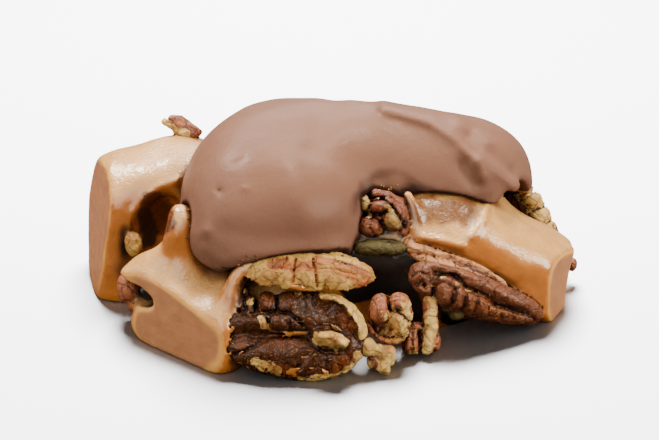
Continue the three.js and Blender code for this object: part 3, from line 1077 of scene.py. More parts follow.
PECANS: tuple[Pecan, ...] = (
    PecanHalf(
        node="pecan_front",
        tone=PecanTone.DARK,
        cell=0.19,
        half=Half((-6, -25.8, 5.9), 21.2, 12.8, 5.4, 2.2, (-1, 0.02, 0), (0, 0.9, -0.42)),
        rough=0.05,
        folded=0.25,
        lumps=(
            Knob((-13.6, -11.3, 18), (1.3, 0.9, 1.6), turn=10),
            Knob((-12.5, -13, 19), (1.3, 1.3, 1.8)),
            Knob((-9.8, -12.7, 20), (1.5, 1.3, 1.6)),
            Knob((-13.9, -15.1, 18.4), (1.3, 1.3, 1.8)),
            Knob((0.1, -18.5, 22.4), (3, 1.6, 1.6), turn=-12),
        ),
        strokes=(
            Stroke(
                ((-15.8, -17.9), (-13.4, -17.9), (-11.5, -18), (-9.6, -18.2), (-6.8, -18), (-3.5, -17.9)),
                1.3,
                0.47,
            ),
            Stroke(((-3.7, -17.7), (-2.6, -19.4), (-1.2, -20.7), (1.6, -20.7)), 0.9, 0.38),
            Stroke(((-11.4, -13.5), (-10.9, -14.3), (-8.5, -14.4), (-6.2, -14.7), (-4, -16.5)), 0.9, 0.27),
            Stroke(((-14, -14.4), (-11.4, -14.6)), 0.8, 0.27),
            Stroke(((-8.3, -11.1), (-8.2, -14.1)), 0.8, 0.22),
            Stroke(((-11.4, -11.6), (-11.4, -14.1)), 0.9, 0.24),
            Stroke(((-13.2, -11.6), (-12.9, -14.1)), 0.6, 0.24),
            Stroke(((-9.8, -14.7), (-9.6, -17.9)), 0.9, 0.2),
            Stroke(((-6.3, -15.4), (-6, -17.2)), 0.5, 0.25),
            Stroke(((-4, -11.3), (-3.7, -13.5)), 0.35, 0.25),
            Stroke(((-2.6, -11.4), (-2.3, -13.5)), 0.4, 0.22),
            Stroke(((-0.5, -14.4), (0.4, -15.7)), 1.1, 1.25),
            Stroke(((-1.5, -16.8), (1.3, -16.6)), 0.7, 0.47),
            Stroke(((-1.2, -12.1), (1, -12.5), (2.9, -14), (4.3, -15.5), (4.8, -17.4)), -1.0, 0.56),
            Stroke(((-10, -12.9),), -0.8, 1.1),
            Stroke(((-6.2, -12.9),), -0.5, 1.25),
            Stroke(((-8.1, -16.1),), -0.7, 1.1),
            Stroke(((-11.5, -16),), -0.6, 1.1),
            Stroke(((-4.8, -15.1),), -0.4, 0.78),
            Stroke(((-1.8, -18.3), (0.1, -18.3), (2.3, -19.3)), -1.5, 0.86),
            Stroke(((-10.1, -19.4), (-7.8, -18.8), (-4.9, -19)), -0.6, 0.63),
            Stroke(((-10.6, -21.2), (-4.6, -21.3)), -0.3, 1.41),
            Stroke(((-11.5, -18.3), (-11.7, -19.4), (-13.1, -20.4), (-14.7, -21)), 0.8, 0.25),
            Stroke(((-4.6, -23.8), (-3.6, -22.6), (-2, -20.9)), -0.5, 0.24),
            Stroke(((-5.6, -23.7), (-4.3, -21.9), (-2.7, -20.5)), 0.5, 0.41),
            Stroke(((-0.6, -20.9), (-0.5, -23.7)), 0.4, 0.2),
            Stroke(((-10.6, -21.5), (-11.4, -23.4)), 0.3, 0.22),
            Stroke(((-9.2, -21.9), (-9.6, -24.1)), 0.3, 0.22),
            Stroke(((-7.1, -22.6), (-7.6, -24.6)), 0.3, 0.22),
            Stroke(((0.9, -21.5), (1.8, -24)), 0.25, 0.22),
            Stroke(((2.4, -20.7), (3.7, -22.6)), 0.25, 0.22),
        ),
        cream=(
            Mark(((-1, -11.7), (0.9, -12.1), (2.9, -13.3), (4.5, -14.9), (5.3, -16.5), (5.1, -17.9)), 0.75),
            Mark(((-12.2, -12.7),), 0.63),
            Mark(((-13.7, -11.1),), 0.55),
            Mark(((-10.7, -15.4), (-10.4, -16.6)), 0.63, 0.8),
            Mark(((-4.9, -11.3),), 0.78, 0.6),
            Mark(((-11.7, -22.1), (-10.4, -22.9)), 0.78),
            Mark(((-9.3, -23), (-8.1, -23.7)), 0.71),
            Mark(((-14.7, -22.6), (-13.1, -23.4)), 0.31),
            Mark(((-4.6, -24.9), (-3.4, -25.2)), 0.47),
            Mark(((-2.6, -24.9), (0.1, -24.8), (2.3, -24), (3.8, -22.6), (4.6, -21.3)), 0.63),
            Mark(((-1.5, -18.5), (0.1, -18.5), (1.8, -19.3)), 1.25, 0.9),
        ),
        orange_and_glow=(
            Mark(((-10, -12.9),), 1.1, 0.8),
            Mark(((2.1, -14.9), (3.1, -16.6)), 1.1, 0.9),
            Mark(((-0.7, -12.4),), 0.78, 0.7),
            Mark(((-8.1, -19.4), (-5.3, -19.6)), 0.78, 0.5),
            Mark(((0.9, -22.9), (2.9, -21.9)), 1.25, 0.8),
            Mark(((-8.4, -23.4), (-5.3, -23.8)), 0.94, 0.6),
            Mark(((-14, -19.4),), 1.1, 0.5),
        ),
    ),
    PecanHalf(
        node="pecan_upper",
        tone=PecanTone.GOLD,
        cell=0.19,
        half=Half((-3.5, -20.8, 13.6), 18.8, 9.2, 2.8, 0.3, (1, 0, -0.08), (0.03, -0.1, 1)),
        bare=1.0,
        rough=0.03,
        folded=0.1,
        strokes=(
            Stroke(((-5.4, -6.1), (-5.6, -9.6)), 0.6, 0.2),
            Stroke(((-2.6, -6.4), (-2.4, -8.6), (-2, -10.5)), 0.6, 0.2),
            Stroke(((-6.8, -6), (-7.6, -7.5)), 0.35, 0.2),
            Stroke(((-4, -7.5),), -0.45, 1.1),
            Stroke(((-7, -7.8),), -0.45, 1.1),
            Stroke(((-0.5, -7.5), (1, -8.2)), -0.4, 1.25),
            Stroke(((-10, -8),), -0.3, 1.41),
            Stroke(((0.1, -8.3), (2.4, -8.9), (4.2, -9.6)), 0.25, 0.31),
            Stroke(((-8.4, -10.7),), 0.9, 0.63),
            Stroke(((-4.9, -10.7),), 0.8, 0.63),
            Stroke(((-0.7, -10.7),), 0.7, 0.63),
            Stroke(((0.7, -6.1), (3.2, -7.1)), 0.35, 0.19),
        ),
        skin=(
            Mark(((-8.7, -7.2), (-7.4, -6.7), (-6, -7.5)), 0.86, 0.85),
            Mark(((-4.8, -7.4), (-2.9, -7.2)), 0.78, 0.8),
            Mark(((-2.3, -6.1), (0.1, -6.4), (2.4, -6.9), (4.6, -7.8), (6, -8.8)), 0.47, 0.95),
            Mark(((5.1, -10), (6.2, -9.7)), 0.63, 0.7),
            Mark(((-7.1, -9.4),), 0.39, 0.6),
        ),
        orange_and_glow=(
            Mark(((-8.5, -7.2), (-6, -7.4)), 1.25, 0.5),
            Mark(((-4.9, -7.4), (-2.7, -7.2)), 1.1, 0.5),
            Mark(((-5.7, -6.6), (-5.7, -9.7)), 0.31, 0.8),
            Mark(((-2.4, -6.7), (-2, -10)), 0.31, 0.8),
            Mark(((-12.5, -9.4), (-10, -10.3)), 0.63, 0.35),
            Mark(((1.6, -7.5), (3.8, -8.6), (5.7, -9.6)), 1.25, 0.65),
        ),
    ),
    PecanHalf(
        node="pecan_right",
        tone=PecanTone.WARM,
        cell=0.19,
        half=Half((21.4, -15.0, 6.7), 23.4, 7.4, 3.9, 1.8, (0.884, 0.2, -0.45), (0.45, -0.5, 0.7)),
        rough=0.08,
        folded=0.12,
        strokes=(
            Stroke(
                (
                    (16.7, -8.3), (18.3, -8.6), (19.7, -8.8), (21.4, -10.3), (23.6, -11.3),
                    (25.8, -13), (28.1, -13.8), (30, -14.6), (31.9, -15.4),
                ),
                1.3,
                0.36,
            ),
            Stroke(((16.2, -8.6), (16.7, -10.2), (16.4, -11.8)), 0.8, 0.41),
            Stroke(((13.1, -8.9), (14.2, -8.2), (15.4, -8.6), (15.8, -9.9)), 0.5, 0.24),
            Stroke(((13.7, -10), (14.7, -9.6), (15, -10.7)), 0.5, 0.24),
            Stroke(((19.5, -8.9), (19.7, -10.7), (19, -13.5)), 0.5, 0.34),
            Stroke(((21.4, -10.5), (21.4, -11.9), (20.8, -14)), 0.45, 0.33),
            Stroke(((23.1, -11.3), (23.3, -12.7), (22.7, -14.6)), 0.4, 0.31),
            Stroke(((24.7, -12.2), (25, -14.6)), 0.3, 0.22),
            Stroke(((26.6, -13.2), (26.7, -15.4)), 0.25, 0.22),
            Stroke(((28.6, -14), (28.9, -15.8)), 0.25, 0.22),
            Stroke(((18, -9.6), (18, -12.2)), -1.0, 0.78),
            Stroke(((20.6, -10.7), (20.1, -13)), -0.9, 0.63),
            Stroke(((22.3, -11.8), (21.9, -13.8)), -0.8, 0.63),
            Stroke(((24.1, -12.4), (23.8, -14.3)), -0.5, 0.63),
            Stroke(((14.8, -8), (13.2, -9.2), (14, -10.8), (15.4, -11.3)), -0.5, 0.53),
            Stroke(((24.7, -9.2), (24.1, -10.3)), -0.5, 0.24),
            Stroke(((17, -7.4), (22, -8.6), (26.7, -11.3), (31.4, -14.3)), -0.6, 0.71),
            Stroke(((19.2, -7.8), (19.7, -7.2)), 0.2, 0.24),
            Stroke(((27.5, -11.3), (28.6, -12.2)), 0.2, 0.24),
        ),
        cream=(
            Mark(((17.5, -9.2), (18.4, -9.1)), 0.28, 0.5),
            Mark(((19.8, -10), (20.9, -9.9)), 0.28, 0.6),
            Mark(((21.7, -11), (22.8, -11)), 0.25, 0.5),
        ),
        orange_and_glow=(Mark(((22, -12.5), (26.7, -13.8)), 1.25, 0.25),),
    ),
    PecanHalf(
        node="pecan_right_inner",
        tone=PecanTone.TAN,
        cell=0.22,
        half=Half((19.8, -11.6, 10.6), 21.0, 9.0, 2.4, 2.0, (0.88, 0.1, -0.42), (0.4, -0.15, 0.9)),
        rough=0.05,
        folded=0.15,
        strokes=(
            Stroke(
                ((12.8, -4.2), (17.3, -5), (21.6, -6.3), (24.5, -7.7), (28.6, -10.7), (33.5, -15.1)),
                -0.3,
                0.31,
            ),
            Stroke(((12.8, -5), (17.3, -5.8), (21.6, -7.1), (24.5, -8.6), (27.5, -11)), 0.35, 0.25),
        ),
    ),
    PecanHalf(
        node="pecan_east",
        tone=PecanTone.ROSE,
        cell=0.24,
        half=Half((32.1, 5.2, 8), 18.0, 7.6, 2.8, 1.8, (0.46, -0.4, -0.79), (0.8, 0.55, 0.2)),
        lumps=(
            Knob((30.2, 5.8, -2.4), (1.1, 1.4, 1.6), turn=10),
            Knob((31.6, 3.4, -3.6), (1.7, 1.4, 1.8), turn=-35),
            Knob((38, -6.9, -4.2), (0.8, 1.1, 1.6)),
        ),
        cream=(Mark(((29.9, 6.3), (31, 4.4), (32.7, 2.5), (33.8, 0.9)), 2.19),),
        orange_and_glow=(Mark(((29.9, 6.3), (30.5, 4.7)), 0.78, 0.5),),
        strokes=(
            Stroke(((31, 2.3),), 0.8, 0.2),
            Stroke(((30, 3.1), (31.4, 3.8), (32.4, 4.7)), 0.6, 0.28),
            Stroke(((30.3, 5.6), (30.7, 4.4)), -0.6, 0.63),
        ),
    ),
    PecanHalf(
        node="pecan_north_west",
        tone=PecanTone.WARM,
        cell=0.24,
        half=Half((-21, 19.5, 6.5), 20.0, 11.0, 4.6, 1.8, (-0.8, -0.5, -0.2), (-0.4, 0.8, 0.35)),
    ),
    PecanHalf(
        node="pecan_north",
        tone=PecanTone.WARM,
        cell=0.24,
        half=Half((5, 26, 7), 21.0, 11.0, 4.8, 1.8, (0.96, 0.02, 0.2), (0, 0.93, 0.3)),
    ),
    PecanBit(
        node="pecan_west_tip",
        tone=PecanTone.ROSE,
        cell=0.2,
        lumps=(
            Strip(((-24.7, 15.9), (-23.3, 15.8), (-21.9, 14.7), (-20.6, 13.8)), -4.0, 0.63),
            Strip(((-25.9, 15.4), (-25, 14.9), (-23.9, 14)), -4.0, 0.47),
            Knob((-23.1, 14.6, -4.3), (1.9, 0.9, 1.4), turn=-28),
            Knob((-22.5, 13.5, -4.6), (2, 0.9, 2), turn=-12),
        ),
        cream=(Mark(((-26.1, 15.5), (-24.8, 14.6), (-23.8, 14), (-22.5, 13.6)), 0.71),),
        rough=0.05,
    ),
    PecanBit(
        node="pecan_bit_notch",
        tone=PecanTone.ROSE_IN_SHADE,
        cell=0.19,
        lumps=(
            Knob((6.5, -0.9, 13.2), (2, 1.7, 2.4), turn=-15),
            Knob((8.4, 2.2, 13.6), (2, 1.3, 2.4), turn=8),
            Knob((5.7, 2.5, 12.8), (0.9, 1.3, 2)),
            Knob((10, 0.5, 13.7), (1.9, 2, 2.4), turn=-35),
            Strip(((7.3, 4.1), (9.3, 3.7), (11.1, 2.4), (12, 0.8), (12.6, -0.9), (11.7, -1.9)), 13.2, 0.78),
            Knob((9.2, 0.9, 12), (3.8, 3, 2.4)),
        ),
        strokes=(
            Stroke(((4.6, 0.9), (6.5, 0.9), (8.1, 0.8), (8.9, 1.3)), 0.9, 0.25),
            Stroke(((6.3, 3.4), (8.1, 3.3), (9.6, 2.4), (10.6, 1.1), (11.5, -0.6)), 0.7, 0.22),
            Stroke(((6.8, 0.3), (6.3, -0.9), (7, -2.4)), 0.3, 0.24),
            Stroke(((7.9, -0.2), (8.9, -1.3)), 0.4, 0.24),
        ),
        cream=(
            Mark(((5.6, 3.3), (5.6, 1.7)), 0.78),
            Mark(((9, 1.7), (9.8, 0.5), (10.9, -0.6), (8.9, -0.6)), 0.94),
            Mark(((7.9, -2), (8.5, -1.3)), 0.47, 0.7),
        ),
        orange_and_glow=(Mark(((7.8, -1.3),), 0.63, 0.5),),
        rough=0.12,
    ),
    PecanBit(
        node="pecan_bit_shadow",
        tone=PecanTone.OLIVE_IN_SHADE,
        cell=0.24,
        lumps=(Knob((7.9, -4.4, 13.8), (4.2, 1.3, 2.6)),),
        bare=0.8,
        rough=0.04,
    ),
    PecanBit(
        node="pecan_bit_hook",
        tone=PecanTone.ROSE,
        cell=0.19,
        lumps=(
            Knob((7.9, -14.1, 19.4), (1.7, 2.6, 2.5), turn=-6),
            Knob((10.6, -13, 19), (2, 1.6, 2.4), turn=10),
            Knob((11.7, -14.6, 18.6), (1.3, 2.2, 2.2), turn=6),
            Knob((10.6, -16.1, 18.9), (2, 2.4, 2.2), turn=-10),
            Strip(
                ((6.2, -16.3), (7.1, -17.6), (8.2, -18.5), (9.3, -19), (10.6, -18.8), (11.7, -17.9)),
                18.8,
                0.66,
            ),
            Knob((9.3, -15.7, 17.2), (2.8, 3.1, 2.2)),
        ),
        strokes=(
            Stroke(((10.7, -14.1), (11.8, -15.2), (12.8, -16.1)), 0.5, 0.17),
            Stroke(((8.4, -17.2), (9.5, -17.4)), 2.0, 0.53),
            Stroke(((6.5, -16), (7.4, -17.2), (8.7, -18.2)), 0.7, 0.24),
            Stroke(((9.2, -11.4), (9.2, -13), (9.6, -14.1)), 0.7, 0.24),
            Stroke(((9.2, -12.2), (10.4, -12.1), (11.4, -12.4)), 0.25, 0.17),
            Stroke(((9.5, -12.9), (10.7, -12.7), (11.7, -13)), 0.25, 0.17),
        ),
        cream=(
            Mark(((11.8, -13), (12, -14.4), (12.3, -15.7)), 0.94),
            Mark(((10.1, -15.1), (10.9, -16.3), (11.2, -17.6)), 1.41),
            Mark(((9.2, -19), (10.4, -19), (11.5, -18.2)), 0.78),
            Mark(((8.1, -18), (9.2, -16.5)), 0.47, 0.7),
        ),
        orange_and_glow=(
            Mark(((9.5, -12.4), (11.4, -12.5)), 0.94, 0.7),
            Mark(((8.4, -18.5), (9.8, -19.3)), 0.63, 0.5),
        ),
        rough=0.14,
    ),
    PecanBit(
        node="pecan_bit_branch",
        tone=PecanTone.ROSE,
        cell=0.19,
        lumps=(
            Knob((6, -19.9, 19.8), (1.2, 1.5, 1.7)),
            Strip(((6.2, -20.4), (7.6, -20.4), (8.9, -20.9)), 19.5, 0.94),
            Strip(((9.2, -20.7), (8.9, -22.3), (8.5, -23.2)), 19.2, 1.19),
            Knob((7, -22.1, 18.4), (1.1, 1.3, 1.4)),
        ),
        strokes=(Stroke(((9.6, -22.9), (9.8, -23.5)), 0.5, 0.2),),
        bare=1.0,
        skin=(Mark(((6.7, -21.6), (7.3, -22.9)), 0.63, 0.9),),
        orange_and_glow=(Mark(((8.9, -20.2),), 0.78, 0.5),),
        rough=0.05,
    ),
    PecanBit(
        node="pecan_bit_stalk",
        tone=PecanTone.ROSE,
        cell=0.19,
        lumps=(
            Strip(((15.8, -12.9), (15.8, -16)), 15.4, 1.19),
            Strip(((15.9, -16.9), (15.4, -18.5), (15.3, -19.9)), 15.2, 1.22),
            Knob((12.9, -19, 14.8), (1.6, 2.1, 2.4), power=3),
            Knob((16.4, -19, 14), (1, 1.6, 1.9)),
            Knob((13.6, -16.9, 14.6), (1.4, 0.9, 1.8)),
        ),
        strokes=(
            Stroke(((12, -17.9), (11.8, -20.7)), 0.35, 0.2),
            Stroke(((12.9, -17.9), (12.9, -20.9)), 0.35, 0.2),
            Stroke(((14, -17.6), (14, -20.7)), 0.7, 0.24),
            Stroke(((16.9, -18.2), (16.5, -20.4)), 0.4, 0.22),
        ),
        cream=(
            Mark(((15.9, -12.5), (15.9, -16)), 1.25, 0.75),
            Mark(((15.9, -16.3), (15.6, -18.5), (15.3, -20.4)), 1.25),
            Mark(((12.6, -21), (13.9, -21.2)), 0.31),
        ),
        orange_and_glow=(Mark(((12.2, -19.4), (13.1, -19.4)), 1.1, 0.5), Mark(((17, -19.1),), 0.78, 0.7)),
        rough=0.1,
    ),
    PecanBit(
        node="pecan_bit_under",
        tone=PecanTone.OLIVE_IN_SHADE,
        cell=0.24,
        lumps=(
            Knob((18.3, -13.5, 12.8), (1.1, 1.1, 1.6)),
            Knob((20.1, -14.6, 12.3), (1.4, 1.1, 1.6), turn=15),
        ),
        bare=1.0,
        rough=0.05,
    ),
    PecanBit(
        node="pecan_bit_pocket",
        tone=PecanTone.GOLD,
        cell=0.24,
        lumps=(Knob((-30.7, -3.8, 5.8), (1.3, 1.9, 1.8), turn=10),),
        bare=1.0,
        rough=0.1,
    ),
    PecanBit(
        node="pecan_bit_west",
        tone=PecanTone.ROSE,
        cell=0.22,
        lumps=(
            Knob((-31.6, -10.7, 7.4), (1.7, 2.4, 2.2), turn=8),
            Knob((-30.2, -12.9, 7), (1.6, 1.7, 2)),
        ),
        orange_and_glow=(Mark(((-32.2, -10.3), (-31, -12.5)), 1.25, 0.5),),
        rough=0.1,
    ),
)


def pecans_value(points: Array) -> Array:
    """Gives the joined field of every pecan piece's smooth body."""
    return reduce(np.minimum, (pecan.near(points) for pecan in PECANS))


@dataclass(frozen=True)
class KnifeCut:
    """A flat cut: a point on it, and the way that the cut face looks."""

    at: Triple
    out: Triple

    def value(self, points: Array) -> Array:
        """Gives how far beyond the cut points lie."""
        out = np.array(self.out) / np.linalg.norm(self.out)
        return (points - np.array(self.at)) @ out


@dataclass(frozen=True)
class Caramel:
    """The poured caramel: folds that flow together, hollows, and knife cuts."""

    cell: float = 0.43
    blend: float = 3.5
    hollow_blend: float = 1.2
    pocket: Fold = Fold((-26.6, -3.4, 10.6), (3.7, 6.4, 6.4), 2.2, -24)
    pocket_blend: float = 3.2  # its rim is rolled
    edge: float = 0.7  # rounding of the cut faces' rims
    cling: float = 0.5  # how far the caramel climbs up the pecans
    sink: float = 0.12  # how far it goes into them, so that no gap shows
    knob_blend: float = 1.8
    foot: float = 0.4  # rounding where it meets the floor
    folds: tuple[Fold, ...] = (
        Fold((3, 3, 6), (25, 19, 14), 2.6),
        Fold((-26.8, 4.6, 4.6), (12, 9.4, 17.0), 3.7, 8, -14),
        Fold((-33, 1.5, 3), (5.6, 6, 4.6), 4, 8),
        Fold((-21.5, 6.5, 12.4), (6.5, 8, 8.4), 2.4),
        Fold((-18.4, -14.1, 3.7), (9.8, 11, 7), 3.8, -39, 14),
        Fold((-28.6, -13.4, 8.3), (4, 3.6, 2.5), 2.3),
        Fold((-22.2, -14, 13.0), (3.0, 2.7, 6.8), 2.4, 0, -6),
        Fold((-15.2, -17.6, 5), (2.1, 6.4, 7.6), 2.2),
        Fold((-16.4, -22.6, 2.6), (2.2, 4.4, 4.8), 2.3),
        Fold((24, -5.8, 9.8), (16, 8.7, 6), 3.4, 2, 27),
        Fold((31, -5, 3.5), (6.5, 6.6, 5), 3.2),
        Fold((16, 17, 6), (13, 10, 8.5), 2.8, -20),
        Fold((-6, 20, 6.5), (12, 9.5, 9), 2.8, 8),
        Fold((16.5, -4.6, 13), (9.5, 7.2, 6.6), 2.4),
        Fold((-22.6, -11.5, 9.6), (6.5, 4.5, 3.6), 2.3),
    )
    hollows: tuple[Fold, ...] = (
        Fold((-27, -7.5, 9.5), (2.4, 4.5, 6), 2.2, 12),
        Fold((-30.6, -14.6, 7), (4.6, 5.2, 1.7), 2, 20),
        Fold((-33.4, -14.5, 5.4), (3.2, 4.5, 3.6), 2.2),
        Fold((6, -22, 6), (15, 7.5, 11), 2.6),
        Fold((20, -18.5, 8), (10.5, 4.6, 5.4), 2.4, 0, 24),
        Fold((39.3, -3.2, 1.2), (4.4, 5.2, 7.2), 2.2),
    )
    knobs: tuple[Knob | Strip, ...] = (
        Knob((-28.1, -3, 7.6), (1.3, 0.8, 1.6), turn=-20),
        Knob((-26.6, -2.5, 7.4), (0.9, 0.7, 1.4)),
        Knob((-23.4, 1.1, 14), (1.5, 1.3, 2.4)),
        Strip(
            (
                (-12.5, -7.1), (-13.6, -8), (-14.7, -9.6), (-15.4, -11.3),
                (-15.6, -13.5), (-16.2, -15.5), (-17, -17.4),
            ),
            19.8,
            1.41,
        ),
        Strip(((12.3, 3.8), (13.2, 2.2), (13.9, 0), (14.2, -2.5)), 13.4, 0.94),
    )
    cuts: tuple[KnifeCut, ...] = (
        KnifeCut((-24.1, -21.9, 0), (-0.62, -0.77, 0.12)),
        KnifeCut((35.9, -7.6, 0), (0.88, -0.47, 0)),
        KnifeCut((-39.4, 2, 0), (-0.955, -0.28, 0.18)),
        KnifeCut((20, 27.2, 0), (0.45, 0.893, 0)),
    )
    strokes: tuple[Stroke, ...] = (
        Stroke(((14.8, -2.7), (18, -3.4), (21.1, -4.2)), -0.7, 0.63),
        Stroke(((24.7, 2.2), (24.1, 0), (22.5, -2.5)), -0.7, 0.78),
        Stroke(((16.7, 0.2), (18.3, 0.3), (20.1, 0)), 1.1, 2.35),
        Stroke(((22.2, 0.6), (22, -0.9), (20.8, -1.9)), 0.5, 1.1),
        Stroke(((-31.1, -3.1), (-31, 0.6), (-29.2, 3.3), (-26.9, 5.2), (-24.1, 6.1)), -0.5, 0.63),
        Stroke(((-36.6, 0.8), (-35.7, 6.3), (-34.1, 8.9)), -0.3, 0.63),
    )
    murk_shade: tuple[Mark, ...] = (  # painted shade: where the caramel is darkest, in its shaded pocket and arch
        Mark(((-28.9, 0.9), (-28.6, -0.9), (-28.3, -3.1)), 2.04, core=0.3),
        Mark(((3.5, -11), (6.7, -10), (9.8, -9.1), (11.8, -11), (12.9, -14.4), (13.4, -17.2)), 2.35),
        Mark(((18.1, -15.4), (22, -16.6)), 0.94),
        Mark(((3.2, -6), (7.3, -6.6), (11.7, -6.6)), 1.41),
        Mark(((-29.6, -11.1), (-28.3, -11.9)), 1.25, core=0.3),
    )
    dusk_shade: tuple[Mark, ...] = (  # painted shade where it lies in the shade of the chocolate
        Mark(((14.2, 1.6), (17.3, 1.6), (20.8, 1.3)), 3.76, 0.85, core=0.3),
        Mark(((-28.1, 3.1), (-26.3, 2.2), (-25.6, -0.6)), 2.51, 1.0, core=0.4),
    )

    @property
    def box(self) -> Array:
        """The lowest and highest corner of a box that holds the caramel."""
        return np.array(((-40, -31, -1), (40, 31, 26)), float)

    @staticmethod
    def swell(points: Array) -> Array:
        """Gives the slow swell of the poured surface."""
        return 0.28 * NOISE.rough(points, 7.0, 2)

    def poured(self, points: Array) -> Array:
        """Gives the field of the caramel before it was cut."""
        folds = blended((fold.value(points) for fold in self.folds), self.blend)
        spots = VIEW.spots(points)
        folds = blended((folds, *(knob.value(spots) for knob in self.knobs)), self.knob_blend)
        folds = soft_max(folds, -self.pocket.value(points), self.pocket_blend)
        for hollow in self.hollows:
            folds = soft_max(folds, -hollow.value(points), self.hollow_blend)
        return folds

    def cut_value(self, points: Array) -> Array:
        """Gives how far beyond the nearest knife cut points lie."""
        return reduce(np.maximum, (cut.value(points) for cut in self.cuts))

    def value(self, points: Array) -> Array:
        """Gives the caramel's field, with its relief, its cuts and the beds of the pecans."""
        values = self.poured(points)
        close = np.abs(values) < 3.5
        some = points[close]
        spots = VIEW.spots(some)
        worked = sum(stroke.value(spots) for stroke in self.strokes) * smoothstep(spots[:, 2], -4, 0)
        values[close] += worked + self.swell(some)
        cut = self.cut_value(points)
        drag = 0.05 * NOISE.at(points, (6.0, 6.0, 0.7)) + 0.05 * NOISE.at(points, 3.0)
        values = soft_max(values, cut + drag, self.edge)
        pecans = pecans_value(points)
        values = np.maximum(soft_min(values, pecans, self.cling), -pecans - self.sink)
        return soft_max(values, -points[:, 2], self.foot)

    def bedded(self, points: Array) -> Array:
        """Gives the field of the caramel with the pecans that lie in it."""
        return np.minimum(self.value(points), pecans_value(points))

    def make(self, finish: Material, over: Field) -> Object:
        """Makes the caramel.

        Args:
            finish: Its material.
            over: The field of what hangs over it, by which shade is painted on it.
        """
        corners, quads, outwards = drawn(self.cell, self.value, self.box)
        # Painted shade: the hollows darken to near black, with murk marks where the pocket and arch lie in
        # shadow
        near, far = (hollow_shade(self.bedded, corners, outwards, reach) for reach in (2.0, 5.0))
        # painted shade: darker where the chocolate hangs over it
        under, eaves_shade = (hollow_shade(over, corners, outwards, reach) for reach in (1.4, 4.0))
        poured = self.poured(corners)
        west = smoothstep(-outwards[:, 0], 0.75, 0.9)
        cut = smoothstep(self.cut_value(corners), -0.35, -0.08) * (1 - 0.85 * west)
        spots = crooked(corners)
        fray = 0.5 * NOISE.rough(corners, 2.4, 2)
        front = smoothstep(spots[:, 2], -9, -5)
        murk_shade, dusk_shade = (front * marked(marks, spots, fray) for marks in (self.murk_shade, self.dusk_shade))
        masks = {
            "cut": cut,
            "rim": 1 - smoothstep(-poured, 0.15, 0.9),
            "hollow_shade": np.maximum(np.clip(0.5 * near + 0.5 * far, 0, 1), murk_shade),
            "eaves_shade": np.maximum(np.clip(0.5 * under + 0.45 * eaves_shade, 0, 1), dusk_shade),
            # painted light: the up-facing share, which paints the tops a lighter tan
            "film_and_top_light": smoothstep(outwards[:, 2], 0.15, 0.85),
        }
        return make_piece("caramel_pour", corners, quads, masks, finish)


